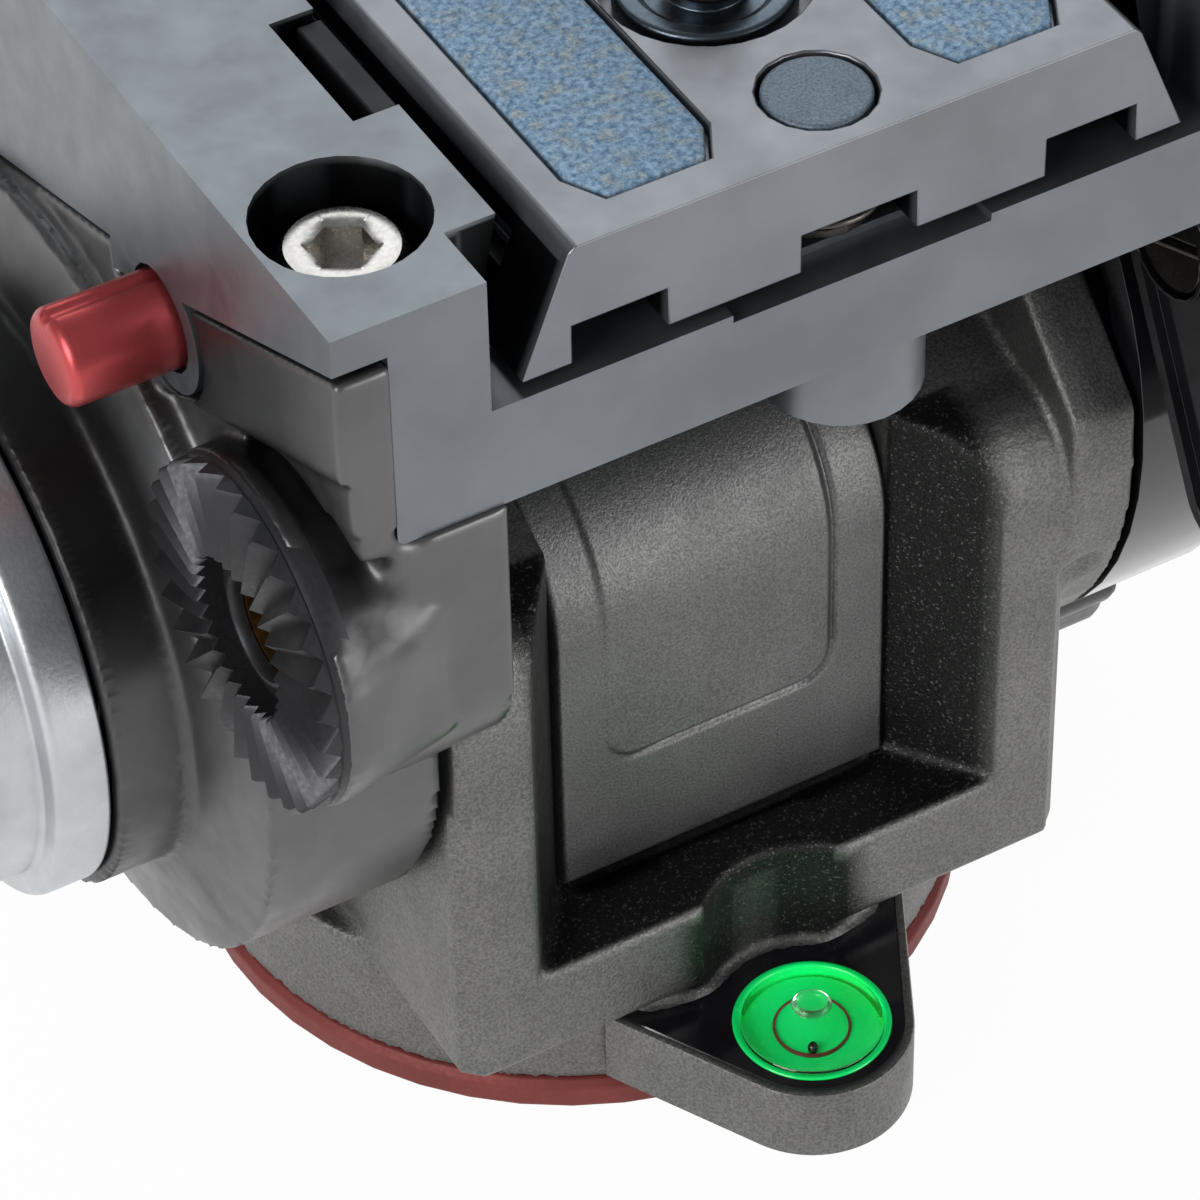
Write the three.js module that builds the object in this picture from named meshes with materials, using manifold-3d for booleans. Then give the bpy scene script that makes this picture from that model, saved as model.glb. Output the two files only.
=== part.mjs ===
// A fluid video head: a red base, a pan housing that turns on it, a tilting
// frame between two drums, and a camera plate that slides in a receiver.
// Millimetres, +Z up, +X to the operator's right, +Y forward to the lens.

import * as THREE from 'three';
import { mergeVertices } from 'three/addons/utils/BufferGeometryUtils.js';
import Module from 'manifold-3d';

const wasm = await Module();
wasm.setup();

// Clearances that several pieces share
const seatGap = 0.3;
const runGap = 0.4;
const runFit = 0.1;
const overrun = 1;

// Where the two main axes run: pan is the Z axis, tilt is parallel to X
const tiltAxisHeight = 48.8;

// Roundness of turned shapes, in sides
const sides = { large: 48, medium: 28, small: 18, tiny: 10 };

// Base: a flat disc with a tripod thread in a steel insert
const base = {
  radius: 30.4,
  thickness: 3,
  edge: 0.6,
  socketRadius: 7.5,
  socketBore: 4,
  socketHeight: 10,
  screwCircle: 15.5,
  screwCount: 3,
  screwRadius: 1.8,
  screwHeadRadius: 3.4,
  screwHeadHeight: 1.6,
  screwLength: 5.4,
  screwSocketWidth: 2.5,
};

// Spindle that the pan housing turns on
const spindle = {
  flangeRadius: 20,
  flangeHeight: 4,
  shaftRadius: 10,
  threadRadius: 6,
  threadHeight: 10,
  washerRadius: 12,
  washerThickness: 1.8,
  nutWidth: 18,
  nutHeight: 6,
  thrustWasherThickness: 1.5,
};

// Pan housing: one casting with a round foot, two arms and a vial lug
const pan = {
  halfWidth: 25.8,
  halfDepth: 30.3,
  footRadius: 30,
  footLip: 1.4,
  blockLow: 12.6,
  footCavityRadius: 24.5,
  footCavityHeight: 10.8,
  webHeight: 5.5,
  shoulderDrop: 3.5,
  shoulderRise: 5.5,
  shoulderDepth: 6.6,
  topRise: 10.7,
  cornerGroove: 2.4,
  cornerGrooveInset: 0.8,
  cornerGrooveTop: 40,
  nicheHalfWidth: 19.7,
  nicheBackHalfWidth: 14,
  nicheDepth: 7.5,
  nicheFloor: 20.9,
  nutPocketHalfWidth: 13,
  nutPocketDepth: 36,
  nutPocketHeight: 13.5,
  bossRadius: 31.2,
  bossWidth: 4.2,
  bossFlat: 14,
  bossChamferLow: 4.9,
  bossChamferReach: 23.4,
};

// Bronze bushes
const bush = { panWall: 1.5, tiltWall: 1.5, tiltLength: 12 };

// Cover of the niche
const panel = { thickness: 2.5, proud: 0.7, bendDrop: 3.8, bendRadius: 12, topRise: 6.8 };

// Vial lug, its black plate and the round level
const lug = {
  low: 4,
  high: 10.7,
  reach: 36,
  endRadius: 7.5,
  rootHalfWidth: 11.6,
  rim: 0.5,
  inward: 4,
  snugGap: 0.15,
  plateDepth: 1.4,
  plateSunk: 0.4,
  scoopRadius: 8.4,
};
const vial = { radius: 6, top: 11.7, depth: 6, dome: 0.9, bodyClearance: 0.15 };

// Pan lock on the housing's right side
const panLock = {
  height: 8.4,
  knobRadius: 6.9,
  knobLength: 13,
  knobLobes: 6,
  knobLobeDepth: 0.9,
  neckRadius: 4.2,
  neckLength: 2,
  studRadius: 2.5,
  padLength: 5,
};

// Tilt axle and the drag unit in the left drum
const axle = { radius: 6, endOver: 1.5 };
const drag = {
  statorRadius: 24.4,
  statorFlange: 2,
  statorDepth: 8,
  statorWall: 2.2,
  rotorThickness: 3,
  rotorGap: 1.4,
};

// Left cheek: a drum, a collar and an arm up to the receiver
const cheek = {
  inner: 26.8,
  outer: 38.5,
  drumRadius: 30.4,
  drumFace: 40,
  dishDepth: 2,
  drumWall: 3.4,
  collarRadius: 22.4,
  collarFace: 47.5,
  collarWall: 1.6,
  rearReach: 41.8,
  rearLow: 12.2,
  rearCorner: 5,
  undersideReach: 29.4,
  undersideDrop: 1.9,
  frontReach: 32,
  frontCorner: 6,
  coreInner: 36,
  collarFloor: 40,
  bandDepth: 0.7,
  bandHeight: 8.4,
};

// Parting line of the left cheek and the receiver, as seen from the side
const parting = {
  rear: 46.9,
  stepReach: 9,
  stepLow: 32.1,
  stepHigh: 34.9,
  front: 22,
  gap: 0.5,
};

// Silver cap of the left drum and the dark cap of the right one
const cap = {
  rimRadius: 21.7,
  rimWidth: 4,
  radius: 19.7,
  face: 58,
  wall: 1.8,
  edge: 1.2,
};
const spring = { wire: 1.1, radius: 12.5, turns: 5 };

// Toothed seat of the pan bar
const rosette = {
  reach: 32.3,
  rise: 19.5,
  radius: 11.7,
  face: 42.2,
  teeth: 30,
  toothDepth: 1.5,
  fluteDepth: 1,
  recessRadius: 5.4,
  recessDepth: 1.8,
  insertRadius: 4.4,
  insertBore: 3.4,
  scoopRadius: 13.5,
  scoopShift: 1.4,
  scoopDepth: 3.2,
  seat: 39.1,
  bossTop: 40.7,
  bossRim: 0.9,
  bossFoot: 31.5,
};

// Right drum: glossy black, with the lock lever behind it
const right = {
  inner: 30.6,
  face: 42,
  radius: 31.2,
  wall: 3,
  edge: 1.5,
  armWidth: 7,
  armHalfDepth: 26,
  coreInner: 38,
  lugRadius: 5.6,
};
const lever = {
  reach: 31.6,
  rise: 20.6,
  hubRadius: 5.6,
  length: 20.4,
  rootWidth: 10.6,
  tipWidth: 7.4,
  lean: 0.42,
  inner: 31,
  thickness: 7,
  panelRim: 1.1,
  panelDepth: 0.8,
  hubRing: 4.6,
  screwRadius: 2.6,
  screwHeadRadius: 4,
  screwHeadHeight: 2.4,
};

// Receiver that the plate slides in
const receiver = {
  halfWidth: 38.5,
  halfLength: 41.3,
  underside: 31.2,
  top: 50.1,
  rearWallHalfWidth: 34.6,
  channelTop: 23.8,
  lipLength: 3.4,
  lipDrop: 0.4,
  lipSagHalfWidth: 9.8,
  lipSag: 0.6,
  endNotchLength: 5.5,
  endNotchDepth: 3.7,
  slotLow: -23.2,
  slotHigh: -11.6,
  slotDepth: 3.3,
  bossX: 1.9,
  bossY: -35.6,
  bossRadius: 5.7,
  bossLength: 6,
};

// Socket screws that join the receiver to the cheeks
const screw = {
  x: 32.2,
  rearY: -31,
  frontY: 20,
  rightRearY: -18,
  counterbore: 5.9,
  headRadius: 4.25,
  headHeight: 5,
  headSunk: 2.3,
  hexWidth: 4,
  hexDepth: 2.6,
  shankRadius: 2.4,
  shankLength: 16,
};

// Sliding plate
const plate = {
  halfWidth: 25,
  topHalfWidth: 21.4,
  length: 90,
  thickness: 9.5,
  rear: -40.8,
  topEdge: 0.5,
  grooveSideNear: 14.3,
  grooveSideFar: 21.3,
  grooveHalfWidth: 4.35,
  grooveDepth: 3.1,
  grooveEnd: 6,
  padNear: 7.6,
  padFar: 18.5,
  padRear: -37.7,
  padLength: 83.8,
  padCorner: 3,
  padCornerWidth: 1.6,
  padDepth: 1.2,
  padSunk: 0.1,
};

// Camera screw, anti-twist pin and their seats in the plate
const cameraScrew = {
  y: -21.4,
  collarRadius: 6.2,
  recessRadius: 7.4,
  recessDepth: 2.4,
  threadRadius: 3.1,
  threadRise: 5.2,
  headRadius: 8.4,
  headHeight: 2,
  slotWidth: 1.4,
  slotDepth: 1,
  shankRadius: 3.6,
};
const pin = {
  y: -35.4,
  radius: 3.7,
  hole: 4.05,
  stemRadius: 1.5,
  headHeight: 3.4,
  stemLength: 3.2,
  seatThickness: 0.7,
  seatHeight: 0.2,
};
const pinSpring = { wire: 0.35, radius: 2.9, turns: 3 };

// Red safety button and the catch that it moves
const button = {
  y: -16.1,
  rise: 33.4,
  radius: 3.5,
  length: 8.1,
  stemRadius: 1.2,
  stemLength: 7,
  backLength: 1.6,
  edge: 0.7,
  groove: 1,
  grooveDepth: 0.5,
  relief: 5.4,
  pocketRadius: 3.1,
  pocketDepth: 3.6,
};
const safetyCatch = { width: 1.8, low: 45.2, high: 49.4, noseReach: 1.9, noseHeight: 1.6 };
const buttonSpring = { wire: 0.3, radius: 2.3, turns: 3 };

// Clamp of the plate on the receiver's right flank
const clamp = {
  y: 1,
  rise: 43.8,
  jawLength: 22,
  jawHeight: 6,
  jawWidth: 4.4,
  jawTravel: 0.5,
  studRadius: 2.5,
  knobRadius: 8.6,
  knobLength: 13,
  knobLobes: 7,
  knobLobeDepth: 1,
  neckRadius: 5,
  neckLength: 2,
};

// Booleans

function solidOf(geometry) {
  const bare = geometry.clone();
  bare.deleteAttribute('normal');
  bare.deleteAttribute('uv');
  const merged = mergeVertices(bare);
  const corners = Array.from(merged.index.array);
  const kept = [];
  for (let start = 0; start < corners.length; start += 3) {
    const [a, b, c] = corners.slice(start, start + 3);
    if (a !== b && b !== c && c !== a) {
      kept.push(a, b, c);
    }
  }
  return new wasm.Manifold(new wasm.Mesh({
    numProp: 3,
    vertProperties: new Float32Array(merged.attributes.position.array),
    triVerts: new Uint32Array(kept),
  }));
}

function geometryOf(solid) {
  const mesh = solid.getMesh();
  const geometry = new THREE.BufferGeometry();
  geometry.setAttribute('position', new THREE.BufferAttribute(mesh.vertProperties, mesh.numProp));
  geometry.setIndex(new THREE.BufferAttribute(mesh.triVerts, 1));
  geometry.computeVertexNormals();
  return geometry;
}

function joined(first, ...others) {
  return others.reduce((whole, other) => whole.add(other), first);
}

function cut(first, ...others) {
  return others.reduce((whole, other) => whole.subtract(other), first);
}

// Building blocks. The turns below take a shape's own axes to the head's axes.

const alongX = new THREE.Matrix4().set(0, 0, 1, 0, 1, 0, 0, 0, 0, 1, 0, 0, 0, 0, 0, 1);
const alongZ = new THREE.Matrix4();

function shift(x, y, z) {
  return new THREE.Matrix4().makeTranslation(x, y, z);
}

// A profile of [radius, height] pairs, turned about the Z axis
function turned(profile, count) {
  const points = profile.map(([radius, height]) => new THREE.Vector2(radius, height));
  const geometry = new THREE.LatheGeometry(points, count);
  geometry.rotateX(Math.PI / 2);
  return geometry;
}

// A closed ring profile, given by its corners
function ringTurned(profile, count) {
  return solidOf(turned([...profile, profile[0]], count));
}

function placed(geometry, matrix) {
  geometry.applyMatrix4(matrix);
  return solidOf(geometry);
}

function rod(radius, low, high, count, matrix = alongZ) {
  return placed(turned([[0, low], [radius, low], [radius, high], [0, high]], count), matrix);
}

function edgedRod(radius, low, high, edge, count, matrix = alongZ) {
  return placed(turned([
    [0, low], [radius - edge, low], [radius, low + edge],
    [radius, high - edge], [radius - edge, high], [0, high],
  ], count), matrix);
}

function tube(inner, outer, low, high, count, matrix = alongZ) {
  const profile = [[inner, low], [outer, low], [outer, high], [inner, high], [inner, low]];
  return placed(turned(profile, count), matrix);
}

function block(lowX, highX, lowY, highY, lowZ, highZ) {
  const geometry = new THREE.BoxGeometry(highX - lowX, highY - lowY, highZ - lowZ);
  geometry.translate((lowX + highX) / 2, (lowY + highY) / 2, (lowZ + highZ) / 2);
  return solidOf(geometry);
}

// A flat shape made thick, from low to high along the axis of the matrix
function prism(shape, low, high, matrix = alongZ, curveSegments = 8) {
  const geometry = new THREE.ExtrudeGeometry(shape, {
    depth: high - low,
    bevelEnabled: false,
    curveSegments,
  });
  geometry.translate(0, 0, low);
  geometry.applyMatrix4(matrix);
  return solidOf(geometry);
}

function outline(points) {
  const shape = new THREE.Shape();
  shape.moveTo(...points[0]);
  points.slice(1).forEach((point) => shape.lineTo(...point));
  shape.closePath();
  return shape;
}

// A prism across X keeps its shape's axes as (y, z)
function acrossX(shape, low, high, curveSegments) {
  return prism(shape, low, high, alongX, curveSegments);
}

// A prism across Y keeps its shape's axes as (x, z)
function acrossY(shape, low, high, curveSegments) {
  const turn = new THREE.Matrix4().makeRotationX(Math.PI / 2);
  return prism(shape, -high, -low, turn, curveSegments);
}

function hexagon(width) {
  const radius = width / Math.sqrt(3);
  const corners = Array.from({ length: 6 }, (_, index) => {
    const angle = (index / 6) * 2 * Math.PI;
    return [radius * Math.cos(angle), radius * Math.sin(angle)];
  });
  return outline(corners);
}

// A coil spring along Z: one unbroken tube of 5 sides, 8 steps a turn
function coil({ wire, radius, turns }, length) {
  const stepsPerTurn = 8;
  const tubeSides = 5;
  const steps = turns * stepsPerTurn;
  const rise = (length - 2 * wire) / steps;
  const positions = [];
  for (let step = 0; step <= steps; step += 1) {
    const angle = (step / stepsPerTurn) * 2 * Math.PI;
    for (let side = 0; side < tubeSides; side += 1) {
      const around = (side / tubeSides) * 2 * Math.PI;
      const reach = radius + wire * Math.cos(around);
      positions.push(
        reach * Math.cos(angle),
        reach * Math.sin(angle),
        wire + rise * step + wire * Math.sin(around),
      );
    }
  }
  const indices = [];
  for (let step = 0; step < steps; step += 1) {
    for (let side = 0; side < tubeSides; side += 1) {
      const here = step * tubeSides + side;
      const next = step * tubeSides + ((side + 1) % tubeSides);
      indices.push(here, here + tubeSides, next, next, here + tubeSides, next + tubeSides);
    }
  }
  const last = steps * tubeSides;
  for (let side = 1; side < tubeSides - 1; side += 1) {
    indices.push(0, side, side + 1);
    indices.push(last, last + side + 1, last + side);
  }
  const geometry = new THREE.BufferGeometry();
  geometry.setAttribute('position', new THREE.Float32BufferAttribute(positions, 3));
  geometry.setIndex(indices);
  return geometry;
}

// Least gap between neighbouring turns, measured on the wire's centre points
function coilGap({ wire, radius, turns }, length) {
  const stepsPerTurn = 8;
  const rise = (length - 2 * wire) / (turns * stepsPerTurn);
  const centre = (step) => {
    const angle = (step / stepsPerTurn) * 2 * Math.PI;
    return new THREE.Vector3(radius * Math.cos(angle), radius * Math.sin(angle), rise * step);
  };
  let least = Infinity;
  for (let step = stepsPerTurn / 2; step <= turns * stepsPerTurn; step += 1) {
    least = Math.min(least, centre(0).distanceTo(centre(step)) - 2 * wire);
  }
  return least;
}

// A knob grip along Z with shallow lobes round its rim
function lobedGrip(radius, depth, lobes, low, high, matrix) {
  const stepsPerLobe = 6;
  const count = lobes * stepsPerLobe;
  const points = Array.from({ length: count }, (_, index) => {
    const angle = (index / count) * 2 * Math.PI;
    const reach = radius - (depth / 2) * (1 - Math.cos(lobes * angle));
    return [reach * Math.cos(angle), reach * Math.sin(angle)];
  });
  return prism(outline(points), low, high, matrix);
}

function finish(colour, roughness, metalness) {
  return { color: colour, roughness, metalness };
}

const finishes = {
  redAnodised: finish(0x8e2f33, 0.42, 0.7),
  grainedCasting: finish(0x4b4c4b, 0.62, 0.35),
  fineCasting: finish(0x4f504e, 0.58, 0.3),
  satinCasting: finish(0x5f6368, 0.4, 0.45),
  plateSatin: finish(0x757a80, 0.42, 0.45),
  silver: finish(0xaeb4b9, 0.38, 0.8),
  glossBlack: finish(0x0b0b0d, 0.15, 0.1),
  blackPlastic: finish(0x17181a, 0.5, 0),
  steel: finish(0xb9b6ae, 0.3, 0.95),
  darkSteel: finish(0x35322d, 0.35, 0.85),
  bronze: finish(0x9a6b3d, 0.4, 0.9),
  brass: finish(0xb08a4a, 0.35, 0.9),
  rubberPad: finish(0x4a6378, 0.8, 0),
  greenVial: finish(0x12a544, 0.15, 0),
  redButton: finish(0xa82431, 0.32, 0.75),
  pinBlue: finish(0x5d6a78, 0.5, 0.2),
};

function piece(name, body, material) {
  const geometry = body instanceof THREE.BufferGeometry ? body : geometryOf(body);
  const mesh = new THREE.Mesh(geometry, new THREE.MeshStandardMaterial(material));
  mesh.name = name;
  return mesh;
}

// Heights and places that several pieces follow

const flangeTop = base.thickness + spindle.flangeHeight;
const thrustTop = flangeTop + spindle.thrustWasherThickness;
const footLow = base.thickness + seatGap;
const webLow = footLow + pan.footCavityHeight;
const webTop = webLow + pan.webHeight;
const shaftTop = webTop + runGap;
const washerTop = shaftTop + spindle.washerThickness;
const threadTop = shaftTop + spindle.threadHeight;
const nicheBack = -pan.halfDepth + pan.nicheDepth;
const panTop = tiltAxisHeight + pan.topRise;
const shoulderHigh = tiltAxisHeight + pan.shoulderRise;
const shoulderLow = tiltAxisHeight - pan.shoulderDrop;
const bendHeight = tiltAxisHeight - panel.bendDrop;
const panelTop = tiltAxisHeight + panel.topRise;
const plateLow = receiver.top - runGap - plate.thickness;
const channelFloor = plateLow - runGap;
const boreClearance = runFit + bush.tiltWall + seatGap;

function baseScrewPlaces() {
  return Array.from({ length: base.screwCount }, (_, index) => {
    const angle = ((index + 1 / 2) / base.screwCount) * 2 * Math.PI;
    return [base.screwCircle * Math.cos(angle), base.screwCircle * Math.sin(angle)];
  });
}

// Base

function basePlate() {
  const bore = base.socketRadius + seatGap;
  let body = ringTurned([
    [bore, 0],
    [base.radius - base.edge, 0],
    [base.radius, base.edge],
    [base.radius, base.thickness - base.edge],
    [base.radius - base.edge, base.thickness],
    [bore, base.thickness],
  ], sides.large);
  const headDepth = base.screwHeadHeight + seatGap;
  const hole = turned([
    [0, -overrun],
    [base.screwHeadRadius + seatGap, -overrun],
    [base.screwHeadRadius + seatGap, seatGap],
    [base.screwRadius + seatGap, headDepth + seatGap],
    [base.screwRadius + seatGap, base.thickness + overrun],
    [0, base.thickness + overrun],
  ], sides.tiny);
  for (const [x, y] of baseScrewPlaces()) {
    body = body.subtract(placed(hole.clone(), shift(x, y, 0)));
  }
  return body;
}

function tripodSocket() {
  return tube(base.socketBore, base.socketRadius, 0, base.socketHeight, sides.small);
}

function panSpindle() {
  let body = solidOf(turned([
    [0, base.thickness],
    [spindle.flangeRadius, base.thickness],
    [spindle.flangeRadius, flangeTop],
    [spindle.shaftRadius, flangeTop],
    [spindle.shaftRadius, shaftTop],
    [spindle.threadRadius, shaftTop],
    [spindle.threadRadius, threadTop],
    [0, threadTop],
  ], sides.medium));
  const socketRoom = rod(
    base.socketRadius + seatGap,
    base.thickness - overrun,
    base.socketHeight + seatGap,
    sides.small,
  );
  body = body.subtract(socketRoom);
  const tip = base.screwLength + seatGap + seatGap;
  for (const [x, y] of baseScrewPlaces()) {
    const hole = rod(
      base.screwRadius + seatGap, base.thickness - overrun, tip, sides.tiny, shift(x, y, 0),
    );
    body = body.subtract(hole);
  }
  return body;
}

function baseScrew(x, y) {
  const body = solidOf(turned([
    [0, seatGap],
    [base.screwHeadRadius, seatGap],
    [base.screwRadius, seatGap + base.screwHeadHeight],
    [base.screwRadius, seatGap + base.screwLength],
    [0, seatGap + base.screwLength],
  ], sides.tiny));
  const recess = prism(hexagon(base.screwSocketWidth), 0, base.screwHeadHeight);
  const mesh = piece('screw', body.subtract(recess), finishes.darkSteel);
  mesh.position.set(x, y, 0);
  return mesh;
}

function thrustWasher() {
  const low = flangeTop;
  return tube(
    spindle.shaftRadius + seatGap,
    spindle.flangeRadius,
    low,
    low + spindle.thrustWasherThickness,
    sides.medium,
  );
}

function spindleWasher() {
  return tube(spindle.threadRadius + seatGap, spindle.washerRadius, shaftTop, washerTop, sides.medium);
}

function spindleNut() {
  const bore = rod(
    spindle.threadRadius + seatGap, washerTop - overrun, threadTop + overrun, sides.medium,
  );
  return prism(hexagon(spindle.nutWidth), washerTop, washerTop + spindle.nutHeight).subtract(bore);
}

// Pan housing

function humpShape(inset = 0) {
  const depth = pan.halfDepth - inset;
  const shoulder = depth - pan.shoulderDepth;
  const shape = new THREE.Shape();
  shape.moveTo(-depth, pan.blockLow + inset);
  shape.lineTo(depth, pan.blockLow + inset);
  shape.lineTo(depth, shoulderLow);
  shape.quadraticCurveTo(depth, shoulderHigh - inset, shoulder, shoulderHigh - inset);
  shape.quadraticCurveTo(shoulder / 2, panTop - inset, 0, panTop - inset);
  shape.quadraticCurveTo(-shoulder / 2, panTop - inset, -shoulder, shoulderHigh - inset);
  shape.quadraticCurveTo(-depth, shoulderHigh - inset, -depth, shoulderLow);
  shape.closePath();
  return shape;
}

function bossSolid() {
  const disc = rod(
    pan.bossRadius, pan.halfWidth - overrun, pan.halfWidth + pan.bossWidth, sides.large, alongX,
  );
  const keep = outline([
    [-pan.bossRadius, -pan.bossRadius],
    [pan.bossRadius, -pan.bossRadius],
    [pan.bossRadius, pan.bossChamferLow],
    [pan.bossChamferReach, pan.bossFlat - overrun],
    [pan.bossChamferReach - overrun, pan.bossFlat],
    [-pan.bossChamferReach + overrun, pan.bossFlat],
    [-pan.bossChamferReach, pan.bossFlat - overrun],
    [-pan.bossRadius, pan.bossChamferLow],
  ]);
  const kept = disc.intersect(acrossX(keep, 0, pan.halfWidth + pan.bossWidth + overrun));
  return kept.translate([0, 0, tiltAxisHeight]);
}

function lugShape(inset, inward) {
  const radius = lug.endRadius - inset;
  const rootX = lug.rootHalfWidth - inset;
  const rootY = -pan.halfDepth;
  const rise = rootY + lug.reach;
  const angle = Math.atan2(rise, -rootX) + Math.acos(radius / Math.hypot(rootX, rise));
  const shape = new THREE.Shape();
  shape.moveTo(-rootX, rootY + inward);
  shape.lineTo(radius * Math.cos(angle), radius * Math.sin(angle) - lug.reach);
  shape.absarc(0, -lug.reach, radius, angle, Math.PI - angle, false);
  shape.lineTo(rootX, rootY + inward);
  shape.closePath();
  return shape;
}

function nicheShape() {
  const rear = -pan.halfDepth;
  return outline([
    [-pan.nicheHalfWidth, rear - overrun],
    [pan.nicheHalfWidth, rear - overrun],
    [pan.nicheHalfWidth, rear],
    [pan.nicheBackHalfWidth, nicheBack],
    [-pan.nicheBackHalfWidth, nicheBack],
    [-pan.nicheHalfWidth, rear],
  ]);
}

// The cover's curved outline, grown by a gap where it cuts its seat
function panelProfile(faceY, backY, low, high) {
  const bendY = nicheBack - panel.proud + panel.bendRadius;
  const outer = bendY - faceY;
  const inner = bendY - backY;
  const outerAngle = Math.PI - Math.asin(Math.min(1, (high - bendHeight) / outer));
  const innerAngle = Math.PI - Math.asin(Math.min(1, (high - bendHeight) / inner));
  const shape = new THREE.Shape();
  shape.moveTo(faceY, low);
  shape.lineTo(backY, low);
  shape.absarc(bendY, bendHeight, inner, Math.PI, innerAngle, true);
  shape.absarc(bendY, bendHeight, outer, outerAngle, Math.PI, false);
  shape.closePath();
  return shape;
}

function panelSeat() {
  const backY = nicheBack - panel.proud + panel.thickness + seatGap;
  const bendY = nicheBack - panel.proud + panel.bendRadius;
  const shape = new THREE.Shape();
  shape.moveTo(-pan.halfDepth - overrun, pan.nicheFloor);
  shape.lineTo(backY, pan.nicheFloor);
  shape.absarc(bendY, bendHeight, bendY - backY, Math.PI, Math.PI / 2, true);
  shape.lineTo(bendY, panTop + overrun);
  shape.lineTo(-pan.halfDepth - overrun, panTop + overrun);
  shape.closePath();
  return acrossX(shape, -pan.nicheBackHalfWidth, pan.nicheBackHalfWidth);
}

function panBody() {
  let body = joined(
    acrossX(humpShape(), -pan.halfWidth, pan.halfWidth),
    rod(pan.footRadius, footLow, pan.blockLow + pan.footLip, sides.large),
    bossSolid(),
    prism(lugShape(0, lug.inward), lug.low, lug.high, alongZ, sides.tiny),
  );
  const pocketFront = nicheBack + pan.nutPocketDepth;
  body = cut(
    body,
    rod(pan.footCavityRadius, footLow - overrun, webLow, sides.medium),
    rod(
      spindle.shaftRadius + runFit + bush.panWall + seatGap,
      webLow - overrun, webTop + overrun, sides.medium,
    ),
    prism(nicheShape(), pan.nicheFloor, panTop + overrun),
    panelSeat(),
    block(
      -pan.nutPocketHalfWidth, pan.nutPocketHalfWidth,
      nicheBack - overrun, pocketFront, webTop, webTop + pan.nutPocketHeight,
    ),
    prism(lugShape(lug.rim, seatGap), lug.high - lug.plateDepth, pan.blockLow, alongZ, sides.tiny),
    rod(lug.scoopRadius, lug.high, pan.nicheFloor + overrun, sides.medium, shift(0, -lug.reach, 0)),
    rod(
      vial.radius + vial.bodyClearance, vial.top - vial.depth - seatGap, lug.high + overrun,
      sides.medium, shift(0, -lug.reach, 0),
    ),
    rod(
      axle.radius + boreClearance, -pan.halfWidth - overrun, pan.halfWidth + pan.bossWidth + overrun,
      sides.medium, shift(0, 0, tiltAxisHeight).multiply(alongX),
    ),
    rod(
      panLock.studRadius + seatGap, pan.footCavityRadius - overrun - overrun, pan.footRadius + overrun,
      sides.tiny, shift(0, 0, panLock.height).multiply(alongX),
    ),
  );
  const grooveX = pan.halfWidth + pan.cornerGrooveInset;
  const grooveY = pan.halfDepth + pan.cornerGrooveInset;
  for (const side of [-1, 1]) {
    body = body.subtract(rod(
      pan.cornerGroove, pan.blockLow - overrun, pan.cornerGrooveTop,
      sides.small, shift(side * grooveX, -grooveY, 0),
    ));
  }
  return body;
}

function rearPanel() {
  const faceY = nicheBack - panel.proud;
  const profile = panelProfile(faceY, faceY + panel.thickness, pan.nicheFloor + runGap, panelTop);
  const half = pan.nicheBackHalfWidth - seatGap;
  return acrossX(profile, -half, half);
}

function vialPlate() {
  const low = lug.high - lug.plateDepth;
  const top = lug.high - lug.plateSunk;
  const hole = rod(
    vial.radius + vial.bodyClearance, low - overrun, top + overrun, sides.medium,
    shift(0, -lug.reach, 0),
  );
  const shape = lugShape(lug.rim + lug.snugGap, -lug.snugGap);
  return prism(shape, low, top, alongZ, sides.tiny).subtract(hole);
}

function roundVial() {
  const low = vial.top - vial.depth;
  return placed(turned([
    [0, low],
    [vial.radius, low],
    [vial.radius, vial.top - vial.dome],
    [vial.radius - vial.dome, vial.top],
    [0, vial.top],
  ], sides.medium), shift(0, -lug.reach, 0));
}

function panBush() {
  const inner = spindle.shaftRadius + runFit;
  return tube(inner, inner + bush.panWall, webLow, webTop, sides.medium);
}

function panDragDisc() {
  return tube(
    spindle.shaftRadius + runGap,
    spindle.flangeRadius - seatGap,
    thrustTop + runGap,
    webLow,
    sides.medium,
  );
}

function tiltBush(low, high) {
  const inner = axle.radius + runFit;
  return tube(inner, inner + bush.tiltWall, low, high, sides.medium, alongX);
}

function dragStator() {
  const face = pan.halfWidth;
  const innerWall = drag.statorRadius - drag.statorWall;
  const profile = [
    [axle.radius + runGap, -face - drag.statorFlange],
    [innerWall, -face - drag.statorFlange],
    [innerWall, -face - drag.statorDepth],
    [drag.statorRadius, -face - drag.statorDepth],
    [drag.statorRadius, -face],
    [axle.radius + runGap, -face],
  ];
  return placed(turned([...profile, profile[0]], sides.medium), alongX.clone());
}

function panBrakePad() {
  const low = spindle.flangeRadius + runGap;
  return rod(panLock.studRadius, low, low + panLock.padLength, sides.tiny, alongX.clone());
}

function panLockStud() {
  const low = spindle.flangeRadius + runGap + panLock.padLength + seatGap;
  return rod(panLock.studRadius, low, pan.footRadius + panLock.neckLength, sides.tiny, alongX.clone());
}

function panLockKnob() {
  const neckLow = pan.footRadius + panLock.neckLength;
  const gripLow = neckLow + panLock.neckLength;
  return joined(
    rod(panLock.neckRadius, neckLow, gripLow + overrun, sides.small, alongX.clone()),
    lobedGrip(
      panLock.knobRadius, panLock.knobLobeDepth, panLock.knobLobes,
      gripLow, gripLow + panLock.knobLength, alongX.clone(),
    ),
  );
}

// Tilting frame. Its own frame of reference has the tilt axis at z = 0.

const strip = receiver.rearWallHalfWidth;
const stepY = -parting.stepReach;
const rosettePlace = [-rosette.reach, rosette.rise];

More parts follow.
